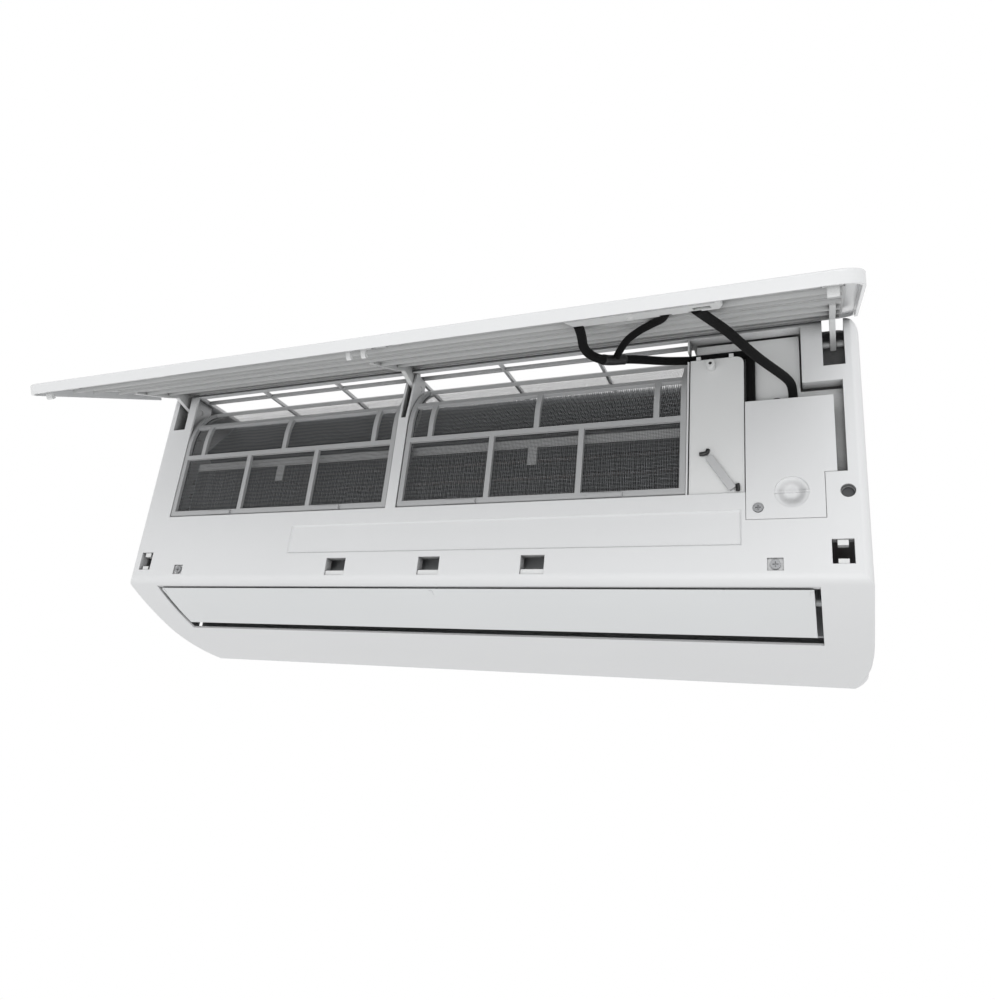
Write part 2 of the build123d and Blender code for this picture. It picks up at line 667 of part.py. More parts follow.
# ---------------------------------------------------------------- free harness, panel to casing
def port(x):
    """Where a cable leaves the display holder, with the panel lifted."""
    a = math.radians(panel_open)
    y = panel_inner + harness_r + 0.8 - hinge_y
    z = holder_z[1] - 2 - hinge_z
    return (x, hinge_y + y * math.cos(a) + z * math.sin(a), hinge_z - y * math.sin(a) + z * math.cos(a))


def routed(*points):
    """Route points given from the unit's right end, the hinge axis and the hinge's height."""
    return [(half_width + x, hinge_y + y, hinge_z + z) for x, y, z in points]


def loop_route():
    """From the display holder down to the clips on the control cover."""
    return [port(cord_ports[0]), *routed(
        (-211, -154, -55), (-215.5, -136, -56), (-213, -118, -54.5), (-206, -97, -48), (-194, -75, -35.5),
        (-182, -52, -25), (-171, -33, -17), (-162, -20, -11)), (harness_start, harness_y, harness_z)]


def branch_route():
    """From the display holder to the loop, which it is taped to."""
    return [port(cord_ports[1]), *routed(
        (-143, -157, -51.5), (-155, -143, -45.5), (-171, -127, -41), (-188, -109, -39), (-200, -88, -41.5))]


def lead_route():
    """From the display holder to its plug behind the terminal cover."""
    return [port(cord_ports[2]), *routed(
        (-112, -152, -51.5), (-100, -127, -50), (-89, -102, -51.5), (-79, -80, -52.5), (-69, -58, -51.5),
        (-61, -37, -49), (-56.5, -21, -48)), (lead_ends[2], harness_y, plug_top + 17),
        (lead_ends[2], harness_y, plug_top)]


def cord_tube(name, points, radius):
    """A cable: straight runs joined by tangent arcs as large as the runs allow."""
    runs = [math.dist(a, b) for a, b in zip(points, points[1:])]
    radii = []
    for i in range(1, len(points) - 1):
        a = Vector(*points[i]) - Vector(*points[i - 1])
        b = Vector(*points[i + 1]) - Vector(*points[i])
        turn = math.radians(a.get_angle(b))
        radii.append(0.45 * min(runs[i - 1], runs[i]) / math.tan(turn / 2))
    path = FilletPolyline(*points, radius=radii)
    tube = sweep(Plane(path @ 0, z_dir=path % 0) * Circle(radius), path)
    print(name, "length", round(path.length), "tightest bend", round(min(radii)),
          "volume ratio", round(tube.volume / (path.length * math.pi * radius ** 2), 3))
    return tube


# ---------------------------------------------------------------- electrical end
def make_electrical_box():
    """A deep tray behind the covers: its front carries the cable plugs, its floor the terminal screw."""
    depth, hollow = (pocket_floor, box_back), (pocket_floor + box_wall, box_back - box_wall)
    x0, z0 = control_x[0] + 4, cover_z[0] + 5
    low = ((x0, cover_x[1] - 2), (z0, cover_z[0] + 37))
    middle = ((x0, step_x + 2), (cover_z[0] + 35, step_z - 2.5))
    high = ((x0, bay_x[1] - 2), (step_z - 4, window_top - 3))
    box = fuse(block(x, depth, z) for x, z in (low, middle, high))
    for x, z in (low, middle, high):
        box -= block((x[0] + box_wall, x[1] - box_wall), hollow, (z[0] + box_wall, z[1] - box_wall))
    box -= block((x0 + box_wall, cover_x[1] - 4), hollow, (middle[1][0] - 4, middle[1][0] + 6))
    box -= block((x0 + box_wall, bay_x[1] - 4), hollow, (step_z - 11, step_z + 4))
    box -= block((x0 + 3, cover_x[1] - 6), (pocket_floor - 1, pocket_floor + 3),
                 (cover_z[0] + 9, cover_z[0] + 79))
    x, z, end = cover_screw_x, cover_screw_z, pocket_floor + 10
    pillar = rod_y(5.0, x, pocket_floor, end, z) + block((x - 2, x + 2), (pocket_floor, end), (z0 + 1, z))
    ear = block((button_x - 11, button_x + 10.5), (switch_y, switch_y + 6), (button_z - 10, button_z + 10))
    box += [pillar, ear, rod_y(3.0, button_x, switch_y - 0.8, switch_y, button_z)]
    return box - rod_y(screw_shank + 0.1, x, pocket_floor - 1, end + 1, z)


def make_control_cover():
    """The cover beside the terminal cover, with a boss and clips for the harness."""
    bottom = window_bottom + fit_gap
    view = make_face(Polyline((control_x[0], bottom), (control_x[1], bottom), (control_x[1], control_top),
                              (control_x[0], control_top), close=True))
    view = fillet(view.vertices().sort_by(Axis.Y)[-2:].sort_by(Axis.X)[-1:], 7)
    back = pocket_floor - 0.3
    cover = front_face(view, control_front, back)
    cover -= front_face(offset(view, -control_wall), control_front + control_wall, pocket_floor + 1)
    boss_x, boss_z = control_x[0] + 19.5, control_top - 9
    cover += rod_y(4.0, boss_x, control_front - 9, control_front + 1, boss_z)
    cover -= rod_y(1.6, boss_x, control_front - 10, 0, boss_z)
    for x in (control_x[0] + 7.5, control_x[0] + 37.5):
        clip = block((x - 2, x + 2), (control_front - 1.5, back), (control_top - 0.5, control_top + 3))
        cover += clip - rod_x(harness_r + 0.2, x - 5, x + 5, harness_y, harness_z)
    return cover


def make_terminal_cover():
    """The screwed cover over the terminals, with a finger grip and the screw's post."""
    view = make_face(Polyline(
        (cover_x[0], cover_z[0]), (notch_x, cover_z[0]), (notch_x, notch_z), (cover_x[1], notch_z),
        (cover_x[1], cover_z[1]), (cover_x[0], cover_z[1]), close=True))
    plate = front_face(view, frame_front, frame_front + cover_thick)
    grip_x, grip_z = (cover_x[0] + cover_x[1]) / 2 + 0.5, cover_z[0] + 24
    floor = frame_front + grip_depth
    ridge = block((grip_x - 15.5, grip_x + 15.5), (frame_front - 2, floor), (grip_z - 0.8, grip_z + 1))
    plate -= rod_y(grip_radius, grip_x, frame_front - 1, floor, grip_z) - ridge
    x, z, back = cover_screw_x, cover_screw_z, pocket_floor - 0.3
    plate -= rod_y(screw_head + 0.4, x, frame_front - 1, frame_front + 1.2, z)
    post = rod_y(5.0, x, frame_front + cover_thick, back + 0.1, z)
    shank = rod_y(screw_shank + 0.2, x, frame_front - 1, 0, z)
    start = frame_front + cover_thick - 0.2
    ledge = block((cover_x[0] + 2, notch_x - 2), (start, back), (cover_z[0] + 1, cover_z[0] + 3))
    side = block((cover_x[1] - 4, cover_x[1] - 2), (start, back), (notch_z + 4, cover_z[1] - 4))
    return (plate - shank) + [post - shank, ledge, side]


def screw(x, y_head, z, length):
    """A pan-head screw driven in along +Y, with a cross recess."""
    under = y_head + 1.8
    body = rod_y(screw_head, x, y_head, under, z) + rod_y(screw_shank, x, under, y_head + length, z)
    for w, h in ((screw_head * 1.1, 0.7), (0.7, screw_head * 1.1)):
        body -= block((x - w / 2, x + w / 2), (y_head - 0.1, y_head + 1.0), (z - h / 2, z + h / 2))
    return body


def make_circuit_board():
    """The main board on four feet, with its transformer, relays, capacitor and heat sink."""
    face = box_back - box_wall - 6
    x0, z1 = control_x[0] + 11.5, step_z - 8
    front = face - 1.6

    def part(x, z, height):
        return block((x0 + x[0], x0 + x[1]), (front - height, front), (z1 - z[1], z1 - z[0]))
    board = block((x0, x0 + 78), (front, face), (z1 - 88, z1))
    feet = [rod_y(2.5, x0 + x, face, box_back - box_wall, z1 - z) for x in (6, 72) for z in (6, 82)]
    parts = [part((4, 34), (12, 38), 19.4), part((40, 60), (26, 42), 14.4), part((40, 60), (6, 22), 14.4),
             part((38, 74), (54, 78), 4.4), rod_y(9, x0 + 19, front - 17.4, front, z1 - 62)]
    return board + feet + parts


def make_terminal_block():
    """Five screw terminals in a row."""
    y = box_back - box_wall
    x0, z0, count, pitch = half_width - 89, cover_z[0] + 7, 5, 11
    body = block((x0, x0 + 56), (y - 20, y), (z0, z0 + 20))
    for x in (x0 + 6 + i * pitch for i in range(count)):
        body -= block((x - 4, x + 4), (y - 21, y - 12), (z0 + 5, z0 + 21))
        body += rod_y(2.6, x, y - 15, y - 11, z0 + 13)
    return body


def make_manual_button():
    """The emergency run button: a plunger with a collar behind the casing's boss."""
    stem = rod_y(button_r, button_x, frame_front + 7, switch_y - 0.8 - button_travel - 0.3, button_z)
    return stem + rod_y(7.5, button_x, frame_front + 12.2, frame_front + 14, button_z)


# ---------------------------------------------------------------- coil
def pack_axes(start, end):
    """Directions along and across one fin pack, in the side view."""
    run = (Vector(*end) - Vector(*start)).normalized()
    return run, Vector(-run.Y, run.X)


def pack_face(start, end, thick, grow=0.0):
    """Side view of one fin pack, or of its core."""
    run, across = pack_axes(start, end)
    across = across * (thick / 2 + grow)
    a, b = Vector(*start) - run * grow, Vector(*end) + run * grow
    return side_face(*[(p.X, p.Y) for p in (a + across, b + across, b - across, a - across)])


def tube_points():
    """(y, z) of neighbouring tube pairs, two rows in each fin pack."""
    for start, end in pack_lines:
        run, across = pack_axes(start, end)
        across = across * (coil_thick / 4)
        count = int(math.dist(start, end) // tube_pitch)
        first = Vector(*start) + run * ((math.dist(start, end) - (count - 1) * tube_pitch) / 2)
        for i in range(count):
            middle = first + run * (i * tube_pitch)
            yield (middle + across - run * 4), (middle - across + run * 4)


def comb_outline():
    """The fins and core of a pack seen along it, from (along X, across) points."""
    count = int((coil_x[1] - coil_x[0] - fin_thick) // fin_pitch) + 1
    first = (coil_x[0] + coil_x[1] - (count - 1) * fin_pitch) / 2
    top = [(coil_x[0], coil_core / 2)]
    for x in (first + i * fin_pitch for i in range(count)):
        top += [(x - fin_thick / 2, coil_core / 2), (x - fin_thick / 2, coil_thick / 2),
                (x + fin_thick / 2, coil_thick / 2), (x + fin_thick / 2, coil_core / 2)]
    top.append((coil_x[1], coil_core / 2))
    return make_face(Polyline(*top, *[(x, -across) for x, across in reversed(top)], close=True))


def make_coil_fins():
    """Three finned packs, each one comb outline drawn along its pack."""
    packs = []
    for start, end in pack_lines:
        run, _ = pack_axes(start, end)
        plane = Plane((0, *start), x_dir=(1, 0, 0), z_dir=(0, run.X, run.Y))
        packs.append(extrude(plane * comb_outline(), math.dist(start, end)))
    return packs


def make_tube_sheets():
    """Galvanised end plates of the fin packs."""
    return [along_x(pack_face(*line, coil_thick, grow=1.0), x, x + sheet_thick)
            for x in (coil_x[0] - sheet_thick, coil_x[1]) for line in pack_lines]


def make_return_bends():
    """Copper bends that join the tubes at the left end."""
    x = coil_x[0] - sheet_thick
    bends = []
    for a, b in tube_points():
        half = math.dist((a.X, a.Y), (b.X, b.Y)) / 2
        start, end = (x - bend_lead, a.X, a.Y), (x - bend_lead, b.X, b.Y)
        crown = (x - bend_lead - half, (a.X + b.X) / 2, (a.Y + b.Y) / 2)
        path = Line((x, a.X, a.Y), start) + ThreePointArc(start, crown, end) + Line(end, (x, b.X, b.Y))
        bends.append(sweep(Plane(path @ 0, z_dir=path % 0) * Circle(tube_radius), path))
    return bends


def make_seal_strip():
    """Light strip that closes the bend between the two front fin packs, with tabs."""
    y = pack_lines[0][0][0] - coil_thick / 2
    depth = (y - 1.6, y - 0.1)
    strip = block(coil_x, depth, strip_z)
    for x in strip_tabs:
        strip += block((x - tab_half, x + tab_half), depth, (strip_z[0] - tab_drop, strip_z[0] + 1))
    return strip


# ---------------------------------------------------------------- rear chassis and drain pan
def scroll_path():
    """The guide that wraps the fan and leads down to the outlet's lower lip."""
    def at(angle, gap):
        a = math.radians(angle)
        return fan_y + (fan_radius + gap) * math.cos(a), fan_z + (fan_radius + gap) * math.sin(a)
    upper = ThreePointArc(*[at(angle, gap) for angle, gap in zip(scroll_angles, scroll_gap)])
    return upper + TangentArc(upper @ 1, scroll_foot, tangent=upper % 1)


def rear_skin():
    """Side view of the back wall and of the channel for the pipes below it."""
    front, low, top = channel
    return FilletPolyline((-30, back_top), (back_y, back_top), (back_y, top), (front, top), (front, low),
                          back_foot, radius=4)


def make_rear_chassis():
    """The moulded back: wall skin, fan scroll, rear drain trough, pipe channel and end plates."""
    half = half_width - wall - 2
    body = along_x(band(rear_skin(), wall), -half, half)
    scroll = along_x(band(scroll_path(), duct_wall), -duct_half, duct_half)
    scroll -= block((bay_wall, duct_half + 1), (-FAR, 0), (scroll_low_z, FAR))
    trough = FilletPolyline((back_y, rear_trough[0]), (rear_trough_front, rear_trough[0]),
                            (rear_trough_front, rear_trough[1]), radius=2)
    body += scroll + along_x(band(trough, 2.0), -duct_half, bay_wall)
    plate = side_face((back_y, duct_end[-1][1]), (back_y, duct_end[0][1]), *duct_end)
    for x in (-duct_half - end_wall, bay_wall):
        body += along_x(plate, x, x + end_wall)
    roof_z = scroll_low_z - 2
    low = side_face(*duct_base, (-124, scroll_low_z), (channel[0], scroll_low_z))
    body += along_x(low, duct_half, duct_half + end_wall)
    body += block((bay_wall, duct_half - 0.3), bay_roof, (roof_z, scroll_low_z))
    duct = side_face(*duct_base, (-140, duct_base[1][1]), (-140, roof_z), (channel[0], roof_z))
    body -= along_x(duct - band(scroll_path(), duct_wall), bay_wall - 1, bay_wall + 3)
    body -= rod_x(bearing_radius + 0.2, -duct_half - 4, -duct_half + 2, fan_y, fan_z)
    body -= rod_x(motor_hole, bay_wall - 1, bay_wall + 4, fan_y, fan_z)
    for x in saddle_x:
        body += block((x, x + saddle_thick), (fan_y - motor_radius, back_y), (saddle_low, saddle_top))
    body -= rod_x(motor_radius + fit_gap, motor_x[0] - 2, motor_x[1] + 4, fan_y, fan_z)
    for x in rib_stations:
        body += block((x - rib_half, x + rib_half), (back_y, -plate_thick - 0.3), rib_z)
    for x in hook_stations:
        half = hook_half + 3
        body -= block((x - half, x + half), (chassis_back - 4, 0), (plate_z[1] - 9, plate_z[1] + 12))
    body -= rod_y(spout_radius + 6, spout_x, chassis_back - 6, 0, spout_z)
    body -= block((pipe_riser_x[1] - 12, pipe_riser_x[0] + 12), (channel[0] + 2, back_y - 2),
                  (channel[2] - 4, channel[2] + 4))
    return body & front_face(front_view(wall + fit_gap), -FAR, 0)


def make_drain_pan():
    """Front drain trough, the outlet's upper wall, and the cheeks that carry the louvre."""
    (front, lip), (_, low), (heel_y, heel_z), (rear, rear_z) = pan_section
    right = coil_x[1] + 1.5
    pan = along_x(band(FilletPolyline(*pan_section, radius=2), 2.0), pan_left, right + pan_end)
    ceiling = band(FilletPolyline(*outlet_ceiling, radius=3), duct_wall)
    pan += along_x(ceiling, -duct_half - 1, duct_half + 1)
    end = side_face((front, lip), (front, low - 1), (heel_y + 1, heel_z - 1), (rear, rear_z + 1))
    for x in (pan_left, right):
        pan += along_x(end, x, x + pan_end)
    weir = side_face((front, lip), (front, low + 5), (rear, rear_z - 3), (rear, rear_z + 1))
    pan += along_x(weir, coil_x[0] - 1.5 - pan_end, coil_x[0] - 1.5)
    for s in (-1, 1):
        x0, x1 = sorted((s * duct_half, s * (duct_half + end_wall)))
        pan += along_x(side_face(*louvre_cheek), x0, x1)
        x = s * frame_screw_x
        pan += rod_y(screw_post, x, frame_front + 9.3, frame_front + 18, frame_screw_z)
        pan -= rod_y(screw_shank + 0.1, x, frame_front + 8, frame_front + 17, frame_screw_z)
    pan -= rod_x(louvre_pin + run_gap, -half_width, half_width, *louvre_pivot)
    pan += rod_y(spout_radius, spout_x, spout_base - 1, spout_base + spout_length, spout_z)
    pan += rod_y(spout_radius + spout_collar, spout_x, spout_base - spout_root, spout_base, spout_z)
    pan -= rod_y(spout_radius - 2, spout_x, spout_base - 16, spout_base + 50, spout_z)
    return pan - block((spout_x - 4, spout_x + 4), (spout_base - 14, spout_base - 7), (spout_z, spout_z + 15))


# ---------------------------------------------------------------- louvre
def make_louvre():
    """The closed flap that continues the underside, with arms to its pins."""
    blade = casing_body(0) - casing_body(louvre_wall)
    rear, (low, high) = outlet_lip - louvre_lip_gap, louvre_back
    keep = side_face((frame_front - 1, outlet_top - 1.8), (frame_front + 20, outlet_top - 1.8),
                     (rear, high), (rear, low), (frame_front - 1, low))
    blade &= along_x(keep, -louvre_half, louvre_half)
    for x in (-louvre_half, -2, louvre_half - louvre_arm):
        blade += along_x(side_face(*louvre_arm_line), x, x + louvre_arm)
    y, z = louvre_pivot
    blade += rod_x(louvre_pin, -duct_half - end_wall, -louvre_half + 1, y, z)
    blade += rod_x(louvre_pin, louvre_half - 1, duct_half + end_wall, y, z)
    blade -= rod_x(drive_pin + run_gap, louvre_half - 4, duct_half + 4, y, z)
    lining = casing_body(louvre_wall - 0.5) - casing_body(louvre_rib_reach)
    for y in louvre_ribs:
        rib = block((-louvre_half + 3, louvre_half - 3), (y, y + louvre_rib_thick), louvre_rib_z)
        blade += rib & lining
    return blade


def make_louvre_motor():
    y, z = louvre_pivot
    x = duct_half + end_wall + 0.3
    thick, length, height = louvre_ear
    motor = rod_x(louvre_motor_radius, x, x + louvre_motor_length, y, z)
    motor += block((x, x + thick), (y - length, y + length), (z - height, z + height))
    return motor + rod_x(drive_pin, louvre_half, x + 1, y, z)


# ---------------------------------------------------------------- vertical vanes
def flow(along, across):
    """Side-view point at a distance along the air flow and across it from the vane pivot."""
    a = math.radians(flow_angle)
    return (vane_centre[0] - along * math.cos(a) - across * math.sin(a),
            vane_centre[1] - along * math.sin(a) + across * math.cos(a))


def flow_face(along, across):
    """A rectangle in the side view, square to the flow."""
    return side_face(*[flow(u, v) for u, v in ((along[0], across[0]), (along[1], across[0]),
                                               (along[1], across[1]), (along[0], across[1]))])


def flow_rod(radius, x, along, across):
    """A rod square to the flow, from one distance across it to another."""
    y, z = flow(along, sum(across) / 2)
    return Pos(x, y, z) * Rot(flow_angle, 0, 0) * Cylinder(radius, across[1] - across[0])


def vane_stations(side):
    """X places of one group's vanes, from the middle of the unit outwards."""
    return [side * (i + 0.5) * vane_pitch for i in range(vane_count)]


def make_vane(x):
    half = vane_height / 2
    blade = along_x(flow_face(vane_ends, (-half, half)), x - vane_thick / 2, x + vane_thick / 2)
    blade += flow_rod(vane_pin, x, 0, (-half - 4.5, -half + 1))
    return blade + flow_rod(link_pin, x, link_arm, (half - 1, half + 3.2))


def make_vane_link(side):
    half = vane_height / 2
    ends = sorted((side * (0.5 * vane_pitch - 12), side * ((vane_count - 0.5) * vane_pitch + 12)))
    along = [link_arm + edge for edge in link_bar]
    bar = along_x(flow_face(along, (half + link_gap, half + link_gap + link_thick)), *ends)
    shift = link_arm * (1 - math.cos(math.radians(vane_swing)))
    room = link_pin + 0.4
    for x in vane_stations(side):
        slot = flow_face((link_arm - shift - room, link_arm + room), (half - 1, half + 4))
        bar -= along_x(slot, x - room - 0.2, x + room + 0.2)
    return bar


def make_vane_holder(side):
    """The strip on the scroll that the vanes of one group turn in."""
    half = vane_height / 2
    ends = sorted((side * (0.5 * vane_pitch - 20), side * ((vane_count - 0.5) * vane_pitch + 20)))
    top = -half - link_gap
    low = top - holder_thick
    strip = along_x(flow_face((-holder_half, holder_half), (low, top)), *ends)
    for x in vane_stations(side):
        strip -= flow_rod(vane_pin + run_gap, x, 0, (-half - 6, -half + 1))
        strip += along_x(flow_face((-holder_half, -1), (low - 5, low)), *[x + a for a in holder_foot])
    return strip - along_x(band(scroll_path(), duct_wall + 0.1), -half_width, half_width)


# ---------------------------------------------------------------- fan
def make_fan_drum():
    """Cross-flow drum: spaced discs with forward-swept blades."""
    x0, x1 = fan_x
    inner = fan_radius - blade_depth
    ring = Circle(fan_radius) - Circle(inner)
    drum = []
    pitch = (x1 - x0 - disc_thick) / (disc_count - 1)
    for i in range(disc_count):
        x = x0 + i * pitch
        face = Circle(fan_radius) if i in (0, disc_count - 1) else ring
        drum.append(extrude(Plane((x, fan_y, fan_z), x_dir=(0, 1, 0), z_dir=(1, 0, 0)) * face, disc_thick))
    drum = fuse(drum)
    root, tip = inner + blade_gap, fan_radius - blade_gap - 0.2
    rise = tip * math.tan(math.radians(blade_sweep))
    blade = make_face(Polyline((root, 0), (tip, rise), (tip - 0.2, rise + blade_thick), (root, blade_thick),
                               close=True))
    blade = Pos(0, -blade_offset) * (blade & Circle(fan_radius - blade_gap / 2))
    across = Plane((x0, fan_y, fan_z), x_dir=(0, 1, 0), z_dir=(1, 0, 0))
    turns = [Rot(0, 0, 360 * i / blade_count) for i in range(blade_count)]
    return drum + [extrude(across * (turn * blade), x1 - x0) for turn in turns]


def make_fan_shaft():
    """Left stub and right hub of the drum."""
    x0, x1 = fan_x
    left = rod_x(shaft_radius, x0 - shaft_reach[0], x0, fan_y, fan_z)
    hub = rod_x(hub_radius, x1, x1 + hub_length, fan_y, fan_z)
    return [left, hub + rod_x(shaft_radius, x1 + hub_length, x1 + shaft_reach[1], fan_y, fan_z)]


def make_fan_bearing():
    x = -duct_half - end_wall
    end = x + bearing_length
    ring = rod_x(bearing_radius, x, end, fan_y, fan_z)
    ring += rod_x(bearing_flange, x + end_wall + 0.2, end, fan_y, fan_z)
    return ring - rod_x(shaft_radius + shaft_gap, x - 1, end + 1, fan_y, fan_z)


def make_fan_motor():
    """Resin-cased motor; the drum's shaft runs in its bore."""
    start = motor_x[0]
    can = rod_x(motor_radius, *motor_x, fan_y, fan_z)
    can = chamfer(can.edges().filter_by(GeomType.CIRCLE), 4)
    nose = rod_x(motor_nose[0], start - motor_nose[1], start, fan_y, fan_z)
    return can + nose - rod_x(shaft_radius + shaft_gap, start - 14, start + 26, fan_y, fan_z)


def make_motor_cover():
    """Cap that clamps the motor on its saddles."""
    left, right = saddle_x
    cap = fuse(block((x, x + saddle_thick), cap_depth, (saddle_top + 1, cap_top)) for x in saddle_x)
    cap += block((left + saddle_thick, right), cap_depth, (cap_top - cap_wall, cap_top))
    return cap - rod_x(motor_radius + 0.2, motor_x[0] - 9, motor_x[1] + 9, fan_y, fan_z)


# ---------------------------------------------------------------- pipes
def make_pipe(i):
    """One refrigerant pipe: from the coil's right end, down behind the electrics and along the channel."""
    start = list(tube_points())[(-3, -5)[i]][1]
    start_y, start_z = start.X, start.Y
    riser = pipe_riser_x[i]
    points = [(coil_x[1] + 1.2, start_y, start_z), (riser, start_y, start_z), (riser, pipe_y[i], start_z - 6),
              (riser, pipe_y[i], pipe_z[i]), (pipe_end[i], pipe_y[i], pipe_z[i])]
    path = FilletPolyline(*points, radius=pipe_bend)
    return sweep(Plane(path @ 0, z_dir=path % 0) * Circle(pipe_radius[i]), path)


def make_flare_union(i):
    """Male flare fitting on the end of a pipe, with its hexagon."""
    x, y, z = pipe_end[i], pipe_y[i], pipe_z[i]
    r = pipe_radius[i]
    start = x - hexagon_start
    hexagon = extrude(Plane((start, y, z), z_dir=(-1, 0, 0)) * RegularPolygon(r + 4.2, 6), hexagon_length)
    thread = rod_x(r + 2.2, x - union_length[i], start - hexagon_length + 0.1, y, z)
    sleeve = rod_x(r + 1.6, start - 0.1, x + 5, y, z)
    return hexagon + thread + sleeve - rod_x(r, x, x + 6, y, z) - rod_x(r - 0.8, x - 60, x + 1, y, z)


def make_pipe_clamp():
    front, top = channel[0] + wall / 2 + 0.45, channel[2] - 4
    body = along_x(side_face((front, top), (clamp_back, top), (clamp_back, clamp_foot[0]),
                             (front, clamp_foot[1])), *clamp_x)
    x0, x1 = clamp_x[0] - 5, clamp_x[1] + 5
    for y, z, radius in zip(pipe_y, pipe_z, pipe_radius):
        radius += run_gap
        body -= rod_x(radius, x0, x1, y, z)
        body -= block((x0, x1), (y, 0), (z - radius, z + radius))
    return body


# ---------------------------------------------------------------- wall plate
def make_mounting_plate():
    """Galvanised plate screwed to the wall; its hooks carry the chassis."""
    view = Pos(0, sum(plate_z) / 2) * RectangleRounded(2 * plate_half, plate_z[1] - plate_z[0], plate_corner)
    for s in (-1, 1):
        view -= Pos(s * plate_window[0], plate_centre) * RectangleRounded(*plate_window[1:])
        for rise in (screw_span_z / 2, -screw_span_z / 2):
            view -= Pos(s * screw_span_x / 2, plate_centre + rise) * Circle(wall_screw_r)
    plate = front_face(view, -plate_thick, 0)
    z0, z1 = plate_z[1] - 4 - plate_thick, plate_z[1] - 4
    tip = chassis_back - hook_out
    for x in hook_stations:
        width = (x - hook_half, x + hook_half)
        plate += block(width, (tip, -plate_thick + 0.2), (z0, z1))
        plate += block(width, (tip - plate_thick, tip), (z0, z1 + hook_rise))
    return plate


# ---------------------------------------------------------------- small parts of the front
def make_latch_catches():
    """Light blocks behind the slots that the panel's hooks snap under."""
    depth = [frame_front + y for y in catch_depth]
    pieces = []
    for x, z in latch_windows():
        x0, x1 = x[0] + catch_gap, x[1] - catch_gap
        z0, z1 = z[0] + catch_gap, z[1] - catch_gap
        if x1 - x0 < 20:
            pieces.append(block((x0 + 4, x1 - 4), depth, (z0, z0 + catch_height - 0.5)))
            pieces.append(block((x0 + 4, x1 - 4), depth, (z1 - catch_height, z1)))
        else:
            pieces.append(block((x0, x1), depth, (z0, z0 + catch_height)))
    return pieces


def make_frame_screws():
    return [screw(s * frame_screw_x, frame_front + 0.2, frame_screw_z, 15.5) for s in (-1, 1)]


def make_cover_screw():
    return screw(cover_screw_x, frame_front - 0.6, cover_screw_z, 21)


def make_room_sensor():
    """Temperature probe in its clip, slanted across the control cover."""
    start, end = probe_ends
    angle = math.degrees(math.atan2(end[1] - start[1], end[0] - start[0]))
    middle = Pos((start[0] + end[0]) / 2, control_front - probe_thick / 2, (start[1] + end[1]) / 2)
    bar = middle * Rot(0, -angle, 0) * Box(math.dist(start, end), probe_thick, probe_width)
    return fillet(bar.edges().filter_by(Axis.Y), 1.5)


def make_sensor_lead():
    """Black lead ends at either end of the probe."""
    depth = (control_front - 3.2, control_front - 0.2)
    (x, z), (low_x, low_z) = probe_ends
    top = block((x - 8, x - 0.5), depth, (z + 1.5, z + 4.5))
    top += block((x - 2.5, x + 0.5), depth, (z + 1.5, z + 7.5))
    return [top, block((low_x + 3, low_x + 6), depth, (low_z - 2, low_z + 4.5))]


def make_fixed_harness():
    """Sleeved cable clipped along the control cover's top and down its side."""
    y, z = harness_y, harness_z
    path = FilletPolyline((harness_start, y, z), (harness_drop_x, y, z), (harness_drop_x, y, plug_top),
                          radius=harness_r + 2)
    return sweep(Plane(path @ 0, z_dir=path % 0) * Circle(harness_r), path)


def make_harness_plugs():
    depth = (harness_y - 3, pocket_floor - 0.1)
    plugs = [block((x - plug_half, x + plug_half), depth, (plug_top - plug_height, plug_top))
             for x in lead_ends]
    plugs[1] += Pos(lead_ends[1], harness_y, plug_top + 8.5) * Cylinder(harness_r, 17)
    return plugs


# ---------------------------------------------------------------- every piece
save("mounting_plate", make_mounting_plate())
save("rear_chassis", make_rear_chassis())
save("front_frame", make_front_frame())
save("intake_grille", make_intake_grille())
save("drain_pan", make_drain_pan())
save("evaporator_fins", *make_coil_fins())
save("evaporator_end_plates", *make_tube_sheets())
save("evaporator_return_bends", *make_return_bends())
save("coil_seal_strip", make_seal_strip())
save("fan_drum", make_fan_drum())
save("fan_shaft", *make_fan_shaft())
save("fan_bearing", make_fan_bearing())
save("fan_motor", make_fan_motor())
save("motor_cover", make_motor_cover())
for i, name in enumerate(("liquid", "gas")):
    save(f"{name}_pipe", make_pipe(i))
    save(f"{name}_flare_union", make_flare_union(i))
save("pipe_clamp", make_pipe_clamp())
save("electrical_box", make_electrical_box())
save("control_cover", make_control_cover())
save("terminal_cover", make_terminal_cover())
save("circuit_board", make_circuit_board())
save("terminal_block", make_terminal_block())
save("cover_screw", make_cover_screw())
save("frame_screws", *make_frame_screws())
save("latch_catches", *make_latch_catches())
save("manual_button", make_manual_button())
save("room_sensor", make_room_sensor())
save("sensor_lead", *make_sensor_lead())
save("harness_fixed", make_fixed_harness())
save("harness_plugs", *make_harness_plugs())
for name, route in (("loop", loop_route()), ("branch", branch_route()), ("lead", lead_route())):
    save(f"harness_{name}", cord_tube(name, route, branch_r if name == "branch" else harness_r))
save("louvre", make_louvre())
save("louvre_motor", make_louvre_motor())
for side, name in ((-1, "left"), (1, "right")):
    save(f"vane_link_{name}", make_vane_link(side))
    save(f"vane_holder_{name}", make_vane_holder(side))
    for i, x in enumerate(vane_stations(side)):
        save(f"vane_{name}_{i + 1}", make_vane(x))
for (x0, _), name in zip(filter_spans(), ("left", "right")):
    save(f"filter_frame_{name}", make_filter_frame(x0))
    save(f"filter_mesh_{name}", make_filter_mesh(x0))
save("panel_shell", make_panel_shell())
save("panel_inner_frame", make_panel_frame())
save("panel_latch_hooks", *make_panel_hooks())
save("panel_hinge_arms", *make_panel_arms())
save("display_holder", make_display_holder())
save("display_board", make_display_board())
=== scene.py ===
import math

import bmesh
import bpy
from mathutils import Matrix, Vector


